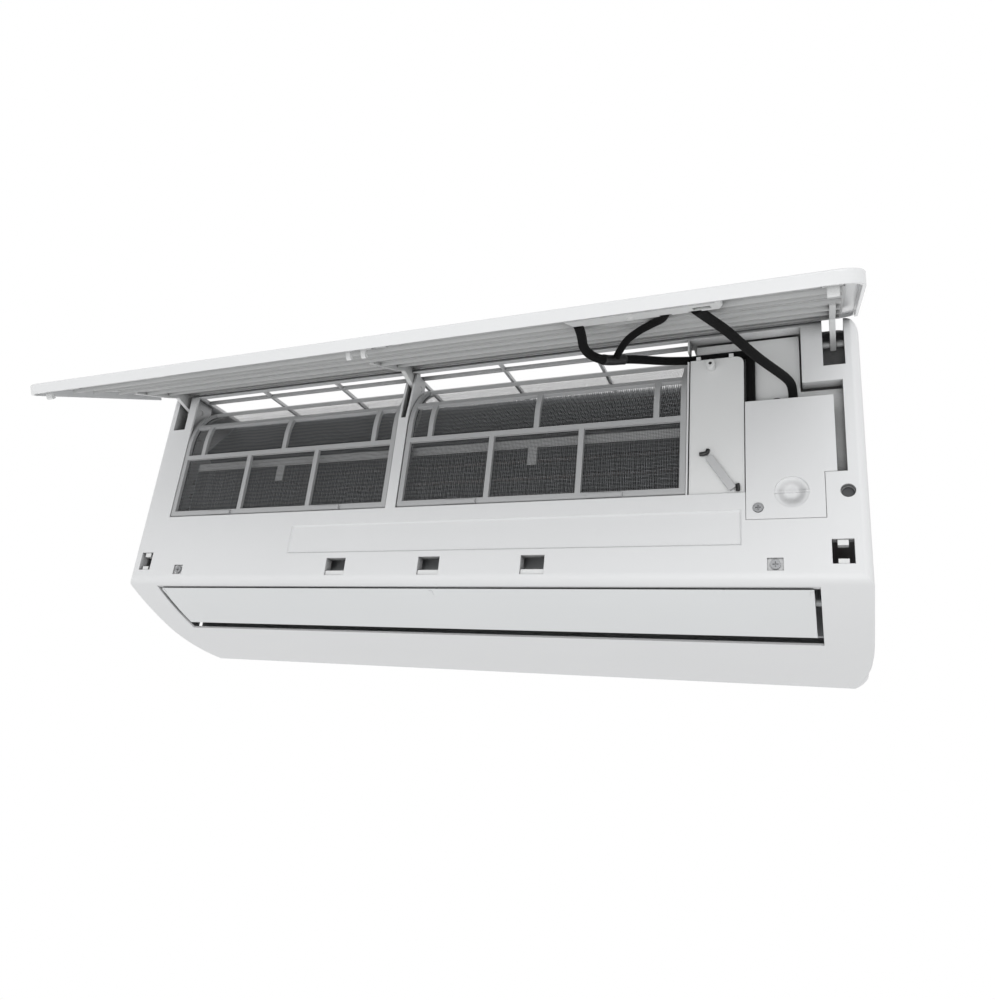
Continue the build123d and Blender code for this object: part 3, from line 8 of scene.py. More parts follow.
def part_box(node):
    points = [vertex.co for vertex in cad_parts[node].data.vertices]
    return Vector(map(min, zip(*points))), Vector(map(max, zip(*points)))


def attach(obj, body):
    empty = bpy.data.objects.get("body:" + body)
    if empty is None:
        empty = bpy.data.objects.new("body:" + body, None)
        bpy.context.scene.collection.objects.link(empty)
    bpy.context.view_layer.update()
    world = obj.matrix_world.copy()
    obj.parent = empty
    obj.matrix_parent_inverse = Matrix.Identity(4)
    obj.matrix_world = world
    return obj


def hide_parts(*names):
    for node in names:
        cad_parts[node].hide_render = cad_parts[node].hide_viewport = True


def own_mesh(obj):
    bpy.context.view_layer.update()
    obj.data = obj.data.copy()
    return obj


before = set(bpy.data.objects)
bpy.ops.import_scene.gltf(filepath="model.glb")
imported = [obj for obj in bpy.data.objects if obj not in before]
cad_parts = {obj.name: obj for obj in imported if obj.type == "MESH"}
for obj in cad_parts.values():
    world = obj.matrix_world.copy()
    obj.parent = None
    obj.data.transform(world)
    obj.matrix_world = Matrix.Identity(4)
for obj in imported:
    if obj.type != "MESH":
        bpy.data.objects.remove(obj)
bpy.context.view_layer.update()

bl_info = {
    "name": "Split Indoor Unit",
    "version": (1, 0, 0),
    "blender": (4, 5, 0),
    "location": "View3D > Sidebar > Indoor Unit",
    "description": "Finishes, cables and coil of a wall-mounted indoor unit, made round its CAD parts",
    "category": "Object",
}

# Lengths are metres. X runs along the unit, Y into the wall and Z up, from the centre of the wall plate.
# Routes and places given as (y, z) or (x, z) are millimetres instead, with Z up from the unit's underside.
MM = 0.001
UNDERSIDE = -0.160           # the unit's underside, from the plate's centre

# ---------------------------------------------------------------- the view, solved from straight edges
VIEW_PLACE = (0.3712, -0.8532, -0.1106 + UNDERSIDE)
VIEW_YAW, VIEW_PITCH, VIEW_ROLL = 24.73, 19.58, 6.02       # degrees
PICTURE_WIDTH, PICTURE_HEIGHT = 995, 1000                  # pixels
PICTURE_CENTRE = (490.5, 494.1)                            # pixels, where the view's axis meets the picture
FOCAL_LENGTH = 790.2                                       # pixels
SENSOR = 36.0                                              # millimetres

# ---------------------------------------------------------------- panel hinge and cables
HINGE = Vector((0.0, -0.160, 0.292 + UNDERSIDE))
PANEL_OPEN = math.radians(65)
CABLE_RADIUS = 0.004
BRANCH_RADIUS = 0.0032
LOOP_ROUTE = ((190, -314, 237.0), (185.5, -296, 236.0), (188, -278, 237.5), (195, -257, 244.0),
              (207, -235, 256.5), (219, -212, 267.0), (230, -193, 275.0), (239, -180, 281.0),
              (252.2, -170.0, 285.3))
BRANCH_ROUTE = ((258, -317, 240.5), (246, -303, 246.5), (230, -287, 251.0), (213, -269, 253.0),
                (201, -248, 250.5))
LEAD_ROUTE = ((289, -312, 240.5), (301, -287, 242.0), (312, -262, 240.5), (322, -240, 239.5),
              (332, -218, 240.5), (340, -197, 243.0), (344.5, -181, 244.0), (345.0, -170.0, 235.0),
              (345.0, -170.0, 218.0))
FIXED_ROUTE = ((252.2, -170, 285.3), (270, -170, 285.3), (294, -170, 285.3), (306, -170, 285.3),
               (308.6, -170, 283.5), (308.6, -170, 274), (308.6, -170, 245), (308.6, -170, 218))
LOOP_PORT, BRANCH_PORT, LEAD_PORT = 0.192, 0.262, 0.284    # along X, at the display holder's edge
PORT_ALONG = 0.112 - 0.292   # from the hinge down the closed panel
PORT_DEEP = -0.1865 + CABLE_RADIUS + 0.8 * MM + 0.160      # from the hinge to the closed panel's inner face
TAPE_SPAN = (-0.262, -0.236)                               # along Y, where the branch joins the loop
TAPE_THICK = 0.7 * MM

# ---------------------------------------------------------------- room sensor's wires, as (x, z)
WIRE_ROUTES = (((264, 183), (268, 183), (271, 184), (271.5, 187.3)),
               ((297, 152.3), (297.6, 150), (297.4, 148), (297.4, 146.2)))
WIRE_RADIUS = 1.9 * MM
WIRE_SIDES = 12

# ---------------------------------------------------------------- coil
FIN_PACKS = (((-149.0, 126.0), (-149.0, 218.0)),           # (y, z) of each pack's two ends
             ((-144.5, 230.0), (-104.0, 286.0)),
             ((-86.0, 284.0), (-34.0, 220.0)))
FIN_ENDS = (-0.348, 0.247)
FIN_DEPTH = 0.022
TUBE_PITCH = 0.019
TUBE_RADIUS = 0.0035
TUBE_SIDES = 12
TUBE_STAGGER = 4 * MM        # how far each tube of a pair lies up or down the pack
TUBE_SHORT = 1 * MM          # how much shorter the tubes are than the row of fins
BEND_START = 1.2 * MM        # from the fins' left end to the first point of a return bend
BEND_LEG = 4 * MM            # straight tube at each end of a bend
BEND_STEPS = 10

# ---------------------------------------------------------------- seal strip and finger grip
STRIP_EDGES = ((-160.85, 209.5), (-160.85, 218.5))         # (y, z) of its lower and upper edge
STRIP_THICK = 1.5 * MM
TAB_PLACES = (-0.2215, 0.0945)                             # along X
TAB_WIDTH, TAB_DROP = 10 * MM, 19 * MM
GRIP_DISH = (0.3415, 0.143 + UNDERSIDE, 0.014, 0.005)      # centre along X and Z, radius, depth

# ---------------------------------------------------------------- pattern sizes
GRAIN = 1.2 * MM             # real tool grain is about 0.2 mm, too fine to show
CLOUD = 111 * MM             # drift of tone and sheen over a moulding
SPANGLE = 8 * MM             # zinc crystals
RIPPLE_SHADE = 4.5 * MM            # waves of painted shade across the net, standing for ripples in the slack net
SHADE_SKY_DARK, SHADE_SKY_OPEN = 0.2, 0.55    # share of the room that a pocket's depth and its mouth see, between which the painted shade goes from full to none

# ---------------------------------------------------------------- studio
FLOOR_RADIUS = 7.0
FLOOR_MOTTLE = 333 * MM
FLOOR_FADE = (2.0, 4.4)      # from the unit, over which the floor turns into the white surround
WORLD_FILL = 0.63
LAMPS = (("key", (1.2, -2.6, 1.2), 2.2, 20),               # name, place, width, watts
         ("low_fill", (0.4, -2.5, -1.3), 1.1, 13.7))
LAMP_AIM = Vector((0, -0.1, 0))
WHITE = (1, 1, 1, 1)


def linear(code):
    """Linear RGBA of an sRGB hex colour."""
    parts = [int(code[i:i + 2], 16) / 255 for i in (0, 2, 4)]
    return tuple(c / 12.92 if c <= 0.04045 else ((c + 0.055) / 1.055) ** 2.4 for c in parts) + (1.0,)


# ---------------------------------------------------------------- settings a user would change
def colour(name, description, code):
    """A colour setting, given as sRGB hex."""
    return bpy.props.FloatVectorProperty(name=name, description=description, subtype="COLOR", size=4,
                                         min=0, max=1, default=linear(code))


def length(name, description, millimetres):
    """A length setting, given in millimetres."""
    return bpy.props.FloatProperty(name=name, description=description, subtype="DISTANCE", unit="LENGTH",
                                   min=0, default=millimetres * MM)


class IndoorUnitColours(bpy.types.PropertyGroup):
    """Colours of the finishes"""
    casing: colour("Casing", "Satin ABS of the front casing and grille", "e2e3e4")
    panel: colour("Panel", "Gloss ABS of the lifted front panel", "e2e3e4")
    inner: colour("Inner mouldings", "Plain polystyrene of the covers and the panel's hooks", "e5e6e6")
    # the panel back's grey is partly the plastic's own and partly painted shade of the lifted panel's
    # underside
    panel_back: colour("Panel back", "Plain polystyrene frame inside the front panel", "c8c9c9")
    louvre: colour("Louvre", "Satin ABS of the air flap", "e0e2e3")
    # the filter frames' grey is partly their own and partly painted shade of the unit's inside
    filter_frame: colour("Filter frame", "Natural polypropylene of the filter frames", "b4b5b6")
    filter_net: colour("Filter net", "Dark polypropylene thread of the dust net", "77787a")
    chassis: colour("Chassis", "Grey polystyrene of the back and the drain pan", "b9bbbd")
    zinc: colour("Zinc", "Galvanised steel of the wall plate and coil ends", "a9adb0")
    fins: colour("Fins", "Pressed aluminium of the coil", "a6a8aa")
    copper: colour("Copper", "Drawn copper tube", "b87350")
    tarnish: colour("Tarnished copper", "Copper of the coil, dulled by years of damp air", "5a4a42")
    brass: colour("Brass", "Turned brass of the flare unions", "b79a5b")
    fan: colour("Fan", "Glass-filled black styrene of the fan drum", "232426")
    vanes: colour("Vanes", "Black ABS of the vertical vanes", "303133")
    resin: colour("Resin", "Moulded resin round the motors", "c9c9c4")
    steel: colour("Steel", "Zinc-plated steel of the screws and shaft", "9c9d9f")
    board: colour("Circuit board", "Solder mask over glass laminate", "2d5a3c")
    terminal: colour("Connectors", "Black nylon of plugs and terminals", "1b1b1c")
    foam: colour("Seal foam", "Polyethylene foam over the coil's bend", "dcdddd")
    probe: colour("Probe clip", "Acetal clip over the room sensor", "c2c3c4")
    # the run button's dark grey is partly its own and partly painted shade of the hole it sits in
    button: colour("Run button", "Dark ABS plunger at the bottom of its hole", "4c4d4f")
    sleeve: colour("Cable sleeve", "Woven black sleeve over the cables", "0d0d0e")
    floor: colour("Floor", "Pale studio floor", "eeeeee")


class IndoorUnitSizes(bpy.types.PropertyGroup):
    """Sizes of the scene's own pieces and patterns"""
    fin_pitch: length("Fin pitch", "From one fin of the coil to the next", 2.2)
    fin_thickness: length("Fin thickness", "Sheet of one fin", 0.3)
    net_pitch: length("Net pitch", "From one thread of the dust net to the next", 1.5)
    net_thread: length("Net thread", "Width of one thread of the dust net", 0.236)
    braid_pitch: length("Braid pitch", "From one strand of the cable sleeve to the next", 1.6)
    edge_radius: length("Edge radius", "Softness of the moulded edges", 0.5)
    floor_drop: length("Floor", "How far the floor lies under the plate's centre", 1900)


def settings(context):
    """The user's colours and sizes."""
    return context.scene.indoor_unit_colours, context.scene.indoor_unit_sizes


# ---------------------------------------------------------------- material helpers
def add(tree, kind, inputs=None, **options):
    """Adds a node. Each input is given a value, or the socket that feeds it."""
    node = tree.nodes.new(kind)
    for name, value in options.items():
        setattr(node, name, value)
    for name, value in (inputs or {}).items():
        if isinstance(value, bpy.types.NodeSocket):
            tree.links.new(value, node.inputs[name])
        else:
            node.inputs[name].default_value = value
    return node


def new_material(name):
    """An empty node material and its tree."""
    material = bpy.data.materials.new(name)
    material.use_nodes = True
    material.node_tree.nodes.clear()
    return material, material.node_tree


def tinted(tree, base, pattern, spread):
    """The base colour, made a little darker where the pattern is low."""
    dark = tuple(c * (1 - spread) for c in base[:3]) + (1.0,)
    mix = add(tree, "ShaderNodeMix", {"Factor": pattern, "A": dark, "B": base}, data_type="RGBA")
    return mix.outputs["Result"]


def with_painted_shade(tree, tone, reach, depth=0.9):
    """The tone with painted shade: darker inside slots and pockets that see little of the room within the
    reach.
    """
    sky = add(tree, "ShaderNodeAmbientOcclusion", {"Distance": reach}, samples=6)
    seen = add(tree, "ShaderNodeMapRange", {"Value": sky.outputs["AO"], "From Min": SHADE_SKY_DARK,
                                            "From Max": SHADE_SKY_OPEN, "To Min": 1 - depth, "To Max": 1.0})
    grey = add(tree, "ShaderNodeCombineColor",
               {name: seen.outputs["Result"] for name in ("Red", "Green", "Blue")})
    mix = add(tree, "ShaderNodeMix", {"Factor": 1.0, "A": tone, "B": grey.outputs["Color"]},
              data_type="RGBA", blend_type="MULTIPLY")
    return mix.outputs["Result"]


def dished(tree, place, normal, dish):
    """Bends the light as over a shallow round dish, given by its centre along X and Z, radius and depth."""
    x, z, radius, depth = dish
    axes = add(tree, "ShaderNodeSeparateXYZ", {"Vector": place})
    flat = add(tree, "ShaderNodeCombineXYZ", {"X": axes.outputs["X"], "Z": axes.outputs["Z"]})
    away = add(tree, "ShaderNodeVectorMath", {0: flat.outputs["Vector"], 1: (x, 0, z)},
               operation="DISTANCE")
    rise = add(tree, "ShaderNodeMapRange", {"Value": away.outputs["Value"], "From Min": 0.25 * radius,
                                            "From Max": radius}, interpolation_type="SMOOTHERSTEP")
    bump = add(tree, "ShaderNodeBump", {"Height": rise.outputs["Result"], "Distance": depth,
                                        "Strength": 1.0, "Normal": normal})
    return bump.outputs["Normal"]


# ---------------------------------------------------------------- materials
def moulded(name, base, roughness, grain, depth, edge, cloud=0.04, painted_shade_reach=0.0, dish=None, coat=0.0):
    """Injection-moulded plastic: eroded tool grain, a faint flow cloud, soft edges, and painted shade in
    pockets when a reach is given.
    """
    material, tree = new_material(name)
    place = add(tree, "ShaderNodeTexCoord").outputs["Object"]
    flow = add(tree, "ShaderNodeTexNoise", {"Vector": place, "Scale": 1 / CLOUD, "Detail": 3.0})
    texture = add(tree, "ShaderNodeTexNoise", {"Vector": place, "Scale": 1 / grain, "Detail": 2.0})
    soft = add(tree, "ShaderNodeBevel", {"Radius": edge}, samples=4)
    bump = add(tree, "ShaderNodeBump", {"Height": texture.outputs["Fac"], "Distance": depth, "Strength": 0.6,
                                        "Normal": soft.outputs["Normal"]})
    sheen = add(tree, "ShaderNodeMapRange", {"Value": flow.outputs["Fac"], "To Min": roughness - 0.05,
                                             "To Max": roughness + 0.05})
    tone = tinted(tree, base, flow.outputs["Fac"], cloud)
    normal = bump.outputs["Normal"]
    shader = add(tree, "ShaderNodeBsdfPrincipled", {
        "Base Color": with_painted_shade(tree, tone, painted_shade_reach) if painted_shade_reach else tone,
        "Roughness": sheen.outputs["Result"], "IOR": 1.53, "Coat Weight": coat,
        "Normal": dished(tree, place, normal, dish) if dish else normal})
    add(tree, "ShaderNodeOutputMaterial", {"Surface": shader.outputs["BSDF"]})
    return material


def metal(name, base, roughness, grain, stretch=(1, 1, 1), painted_shade_reach=0.0):
    """Bare metal whose drawn or turned marks run along the axes with the smallest stretch, with painted shade
    in its hollows when a reach is given.
    """
    material, tree = new_material(name)
    place = add(tree, "ShaderNodeTexCoord").outputs["Object"]
    turned = add(tree, "ShaderNodeMapping", {"Vector": place, "Scale": stretch})
    marks = add(tree, "ShaderNodeTexNoise", {"Vector": turned.outputs["Vector"], "Scale": 1 / grain,
                                             "Detail": 3.0})
    bump = add(tree, "ShaderNodeBump", {"Height": marks.outputs["Fac"], "Distance": 0.02 * MM,
                                        "Strength": 0.5})
    sheen = add(tree, "ShaderNodeMapRange", {"Value": marks.outputs["Fac"], "To Min": roughness - 0.08,
                                             "To Max": roughness + 0.1})
    tone = tinted(tree, base, marks.outputs["Fac"], 0.15)
    shader = add(tree, "ShaderNodeBsdfPrincipled", {
        "Base Color": with_painted_shade(tree, tone, painted_shade_reach) if painted_shade_reach else tone,
        "Roughness": sheen.outputs["Result"], "Metallic": 1.0, "Normal": bump.outputs["Normal"]})
    add(tree, "ShaderNodeOutputMaterial", {"Surface": shader.outputs["BSDF"]})
    return material


def spangled(name, base):
    """Hot-dip galvanised sheet: zinc crystals, each with its own tone and sheen."""
    material, tree = new_material(name)
    place = add(tree, "ShaderNodeTexCoord").outputs["Object"]
    crystals = add(tree, "ShaderNodeTexVoronoi", {"Vector": place, "Scale": 1 / SPANGLE})
    shade = add(tree, "ShaderNodeSeparateColor", {"Color": crystals.outputs["Color"]})
    sheen = add(tree, "ShaderNodeMapRange", {"Value": shade.outputs["Green"], "To Min": 0.32, "To Max": 0.55})
    shader = add(tree, "ShaderNodeBsdfPrincipled", {
        "Base Color": tinted(tree, base, shade.outputs["Red"], 0.22),
        "Roughness": sheen.outputs["Result"], "Metallic": 0.9})
    add(tree, "ShaderNodeOutputMaterial", {"Surface": shader.outputs["BSDF"]})
    return material


def woven_net(name, base, pitch, thread):
    """Knitted dust net: round threads both ways with open squares between them."""
    material, tree = new_material(name)
    place = add(tree, "ShaderNodeTexCoord").outputs["Object"]
    axes = add(tree, "ShaderNodeSeparateXYZ", {"Vector": place})
    waves = []
    for axis in ("X", "Z"):
        turn = add(tree, "ShaderNodeMath", {0: axes.outputs[axis], 1: math.tau / pitch}, operation="MULTIPLY")
        wave = add(tree, "ShaderNodeMath", {0: turn.outputs["Value"]}, operation="COSINE")
        waves.append(wave.outputs["Value"])
    height = add(tree, "ShaderNodeMath", {0: waves[0], 1: waves[1]}, operation="MAXIMUM").outputs["Value"]
    solid = add(tree, "ShaderNodeMath", {0: height, 1: math.cos(math.pi * thread / pitch)},
                operation="GREATER_THAN")
    bump = add(tree, "ShaderNodeBump", {"Height": height, "Distance": 0.2 * MM, "Strength": 0.7})
    # a wave texture's bands lie tau / (20 * scale) apart
    ripple_shade = add(tree, "ShaderNodeTexWave", {"Vector": place, "Scale": math.tau / (20 * RIPPLE_SHADE),
                                             "Distortion": 5.0, "Detail": 2.0, "Detail Scale": 0.4},
                 bands_direction="Z")
    # the threads darken along the waves: painted shade of the net's ripples
    cloth = add(tree, "ShaderNodeBsdfPrincipled", {
        "Base Color": tinted(tree, base, ripple_shade.outputs["Fac"], 0.6), "Roughness": 0.55,
        "Normal": bump.outputs["Normal"]})
    opening = add(tree, "ShaderNodeBsdfTransparent")
    mix = add(tree, "ShaderNodeMixShader", {0: solid.outputs["Value"], 1: opening.outputs["BSDF"],
                                            2: cloth.outputs["BSDF"]})
    add(tree, "ShaderNodeOutputMaterial", {"Surface": mix.outputs["Shader"]})
    return material


def woven_sleeve(name, base, pitch):
    """Braided polyester sleeve: two strands cross on the tube's own UV map, which is in metres, with painted
    shade in the hollows between the strands.
    """
    material, tree = new_material(name)
    place = add(tree, "ShaderNodeUVMap", uv_map="UVMap").outputs["UV"]
    axes = add(tree, "ShaderNodeSeparateXYZ", {"Vector": place})
    strands = []
    for operation in ("ADD", "SUBTRACT"):
        slant = add(tree, "ShaderNodeMath", {0: axes.outputs["X"], 1: axes.outputs["Y"]}, operation=operation)
        turn = add(tree, "ShaderNodeMath", {0: slant.outputs["Value"], 1: math.tau / pitch},
                   operation="MULTIPLY")
        wave = add(tree, "ShaderNodeMath", {0: turn.outputs["Value"]}, operation="SINE")
        strands.append(wave.outputs["Value"])
    height = add(tree, "ShaderNodeMath", {0: strands[0], 1: strands[1]}, operation="MAXIMUM").outputs["Value"]
    bump = add(tree, "ShaderNodeBump", {"Height": height, "Distance": 0.3 * MM, "Strength": 0.8})
    hollow_shade = add(tree, "ShaderNodeMapRange", {"Value": height, "To Min": 0.0, "To Max": 1.0})
    # painted shade: the hollows between the strands are darker
    shader = add(tree, "ShaderNodeBsdfPrincipled", {
        "Base Color": tinted(tree, base, hollow_shade.outputs["Result"], 0.5),
        "Roughness": 0.75, "Specular IOR Level": 0.2, "Normal": bump.outputs["Normal"]})
    add(tree, "ShaderNodeOutputMaterial", {"Surface": shader.outputs["BSDF"]})
    return material


def dress(material, *nodes):
    """Gives a finish to CAD nodes."""
    for name in nodes:
        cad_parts[name].material_slots[0].material = material


# ---------------------------------------------------------------- mesh helpers
def make_object(name, bm, material, body, smooth=True):
    """A finished mesh piece that rides on a CAD body."""
    mesh = bpy.data.meshes.new(name)
    for face in bm.faces:
        face.smooth = smooth
    bm.to_mesh(mesh)
    bm.free()
    piece = bpy.data.objects.new(name, mesh)
    bpy.context.scene.collection.objects.link(piece)
    mesh.materials.append(material)
    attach(piece, body)
    return piece


def metres(points):
    """Unit coordinates in millimetres, as places in the frame."""
    return [Vector((x * MM, y * MM, z * MM + UNDERSIDE)) for x, y, z in points]


def centreline(points):
    """Points of the smooth spline that has these as its control points."""
    curve = bpy.data.curves.new("line", "CURVE")
    curve.dimensions = "3D"
    curve.resolution_u = 8
    spline = curve.splines.new("NURBS")
    spline.points.add(len(points) - 1)
    for point, place in zip(spline.points, points):
        point.co = (*place, 1)
    spline.order_u = 3
    spline.use_endpoint_u = True
    holder = bpy.data.objects.new("line", curve)
    mesh = bpy.data.meshes.new_from_object(holder)
    line = [v.co.copy() for v in mesh.vertices]
    bpy.data.objects.remove(holder)
    bpy.data.curves.remove(curve)
    bpy.data.meshes.remove(mesh)
    return line


def distances(line):
    """How far along the line each of its points lies."""
    along = [0.0]
    for a, b in zip(line, line[1:]):
        along.append(along[-1] + (b - a).length)
    return along


def tube_mesh(line, radius, sides=16):
    """Rings bridged along a line. Its UV map runs round the tube and along it, in metres."""
    bm = bmesh.new()
    ring_no = bm.verts.layers.int.new("ring")
    across = (line[1] - line[0]).orthogonal().normalized()
    last = len(line) - 1
    rings = []
    for i, place in enumerate(line):
        ahead = (line[min(i + 1, last)] - line[max(i - 1, 0)]).normalized()
        across = (across - ahead * across.dot(ahead)).normalized()
        turn = Matrix((across, ahead.cross(across), ahead)).transposed().to_4x4()
        ring = bmesh.ops.create_circle(bm, segments=sides, radius=radius, cap_ends=i in (0, last),
                                       matrix=Matrix.Translation(place) @ turn)["verts"]
        for v in ring:
            v[ring_no] = i
        rings.append(ring)
    for a, b in zip(rings, rings[1:]):
        edges = {e for v in a + b for e in v.link_edges if e.other_vert(v)[ring_no] == v[ring_no]}
        bmesh.ops.bridge_loops(bm, edges=list(edges))
    bmesh.ops.recalc_face_normals(bm, faces=bm.faces)
    unwrap_tube(bm, ring_no, rings, math.tau * radius / sides, distances(line))
    return bm


def unwrap_tube(bm, ring_no, rings, step, along):
    """A UV map of a tube in metres: U grows by the step from side to side, and V along the line."""
    uv = bm.loops.layers.uv.new("UVMap")
    place_in_ring = {v: k for ring in rings for k, v in enumerate(ring)}
    sides = len(rings[0])
    for face in bm.faces:
        closing = any(place_in_ring[v] == sides - 1 for v in face.verts)
        for loop in face.loops:
            k = place_in_ring[loop.vert]
            if closing and k == 0:
                k = sides
            loop[uv].uv = (k * step, along[loop.vert[ring_no]])


# ---------------------------------------------------------------- camera
class INDOORUNIT_OT_camera(bpy.types.Operator):
    """Camera low at the right-hand end, looking up along the unit"""
    bl_idname = "indoor_unit.camera"
    bl_label = "Camera"
    bl_options = {"REGISTER", "UNDO"}

    def execute(self, context):
        yaw, pitch, roll = (math.radians(angle) for angle in (VIEW_YAW, VIEW_PITCH, VIEW_ROLL))
        ahead = Vector((-math.sin(yaw) * math.cos(pitch), math.cos(yaw) * math.cos(pitch), math.sin(pitch)))
        right = Vector((math.cos(yaw), math.sin(yaw), 0))
        up = right.cross(ahead)
        rolled_right = math.cos(roll) * right + math.sin(roll) * up
        rolled_up = math.cos(roll) * up - math.sin(roll) * right
        turn = Matrix((rolled_right, rolled_up, -ahead)).transposed().to_4x4()
        data = bpy.data.cameras.new("view")
        data.sensor_width = SENSOR
        data.lens = FOCAL_LENGTH / PICTURE_HEIGHT * SENSOR
        data.shift_x = (PICTURE_WIDTH / 2 - PICTURE_CENTRE[0]) / PICTURE_HEIGHT
        data.shift_y = (PICTURE_CENTRE[1] - PICTURE_HEIGHT / 2) / PICTURE_HEIGHT
        data.clip_start, data.clip_end = 0.05, 60
        camera = bpy.data.objects.new("view", data)
        camera.matrix_world = Matrix.Translation(Vector(VIEW_PLACE)) @ turn
        context.scene.collection.objects.link(camera)
        context.scene.camera = camera
        return {"FINISHED"}


# ---------------------------------------------------------------- cables
def port_place(x):
    """Where a cable leaves the display holder, with the panel lifted."""
    c, s = math.cos(PANEL_OPEN), math.sin(PANEL_OPEN)
    return Vector((x, HINGE.y + PORT_DEEP * c + PORT_ALONG * s, HINGE.z - PORT_DEEP * s + PORT_ALONG * c))


class INDOORUNIT_OT_panel_cables(bpy.types.Operator):
    """The sleeved cables that hang between the lifted panel and the casing"""
    bl_idname = "indoor_unit.panel_cables"
    bl_label = "Panel cables"
    bl_options = {"REGISTER", "UNDO"}

    def execute(self, context):
        colours, sizes = settings(context)
        # A polyester braid: dull black with a fine crossed weave that breaks up every highlight.
        sleeve = woven_sleeve("cable_sleeve_braided_polyester", colours.sleeve, sizes.braid_pitch)
        # Vinyl tape: a smoother, slightly shiny band on the dull braid.
        tape = moulded("cable_tape_pvc", colours.terminal, roughness=0.42, grain=2 * MM, depth=0.1 * MM,
                       edge=0.2 * MM)
        for name, port, route, radius in (("loop", LOOP_PORT, LOOP_ROUTE, CABLE_RADIUS),
                                          ("branch", BRANCH_PORT, BRANCH_ROUTE, BRANCH_RADIUS),
                                          ("lead", LEAD_PORT, LEAD_ROUTE, CABLE_RADIUS)):
            line = centreline([port_place(port)] + metres(route))
            cable = make_object(f"cable_{name}", tube_mesh(line, radius), sleeve, "front_panel")
            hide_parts(f"harness_{name}")
            extras = []
            if name == "loop":
                taped = [place for place in line if TAPE_SPAN[0] < place.y < TAPE_SPAN[1]]
                extras.append(make_object("cable_tape", tube_mesh(taped, radius + TAPE_THICK), tape,
                                          "front_panel"))
            for piece in [cable] + extras:
                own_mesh(piece)
        return {"FINISHED"}


class INDOORUNIT_OT_fixed_cable(bpy.types.Operator):
    """The sleeved cable clipped along the control cover"""
    bl_idname = "indoor_unit.fixed_cable"
    bl_label = "Fixed cable"
    bl_options = {"REGISTER", "UNDO"}

    def execute(self, context):
        colours, sizes = settings(context)
        # The same dull black braid as on the hanging cables.
        sleeve = woven_sleeve("fixed_cable_sleeve_braided_polyester", colours.sleeve, sizes.braid_pitch)
        line = centreline(metres(FIXED_ROUTE))
        cable = make_object("cable_fixed", tube_mesh(line, CABLE_RADIUS), sleeve, "casing")
        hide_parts("harness_fixed")
        return {"FINISHED"}


class INDOORUNIT_OT_sensor_wires(bpy.types.Operator):
    """The two short wires of the room sensor"""
    bl_idname = "indoor_unit.sensor_wires"
    bl_label = "Sensor wires"
    bl_options = {"REGISTER", "UNDO"}

    def execute(self, context):
        colours, _ = settings(context)
        # Vinyl insulation: smooth black with one thin highlight along it.
        vinyl = moulded("sensor_wire_pvc", colours.terminal, roughness=0.35, grain=1 * MM, depth=0.05 * MM,
                        edge=0.1 * MM)
        low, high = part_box("sensor_lead")
        y = (low.y + high.y) / 2
        for number, route in enumerate(WIRE_ROUTES, 1):
            line = centreline([Vector((x * MM, y, z * MM + UNDERSIDE)) for x, z in route])
            wire = make_object(f"sensor_wire_{number}", tube_mesh(line, WIRE_RADIUS, WIRE_SIDES), vinyl,
                               "casing")
            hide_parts("sensor_lead")
        return {"FINISHED"}


# ---------------------------------------------------------------- coil
def tube_pairs(a, b):
    """Both tubes of each row, where they cross the middle of a fin pack that runs from a to b."""
    run = (b - a).normalized()
    across = Vector((0, -run.z, run.y)) * FIN_DEPTH / 4
    rows = int((b - a).length // TUBE_PITCH)
    first = a + run * (((b - a).length - (rows - 1) * TUBE_PITCH) / 2)
    middles = [first + run * (i * TUBE_PITCH) for i in range(rows)]
    stagger = run * TUBE_STAGGER
    return [(middle + across - stagger, middle - across + stagger) for middle in middles]


def return_bend(a, b):
    """Half a turn of tube that joins a pair off the fins' left end, with a straight leg at each end."""
    middle, half = (a + b) / 2, (b - a) / 2
    root = Vector((FIN_ENDS[0] - BEND_START - BEND_LEG, middle.y, middle.z))
    leg = Vector((BEND_LEG, 0, 0))
    turns = [math.pi * k / BEND_STEPS for k in range(BEND_STEPS + 1)]
    arc = [root - Vector((math.sin(t) * half.length, 0, 0)) - half * math.cos(t) for t in turns]
    return [arc[0] + leg, *arc, arc[-1] + leg]


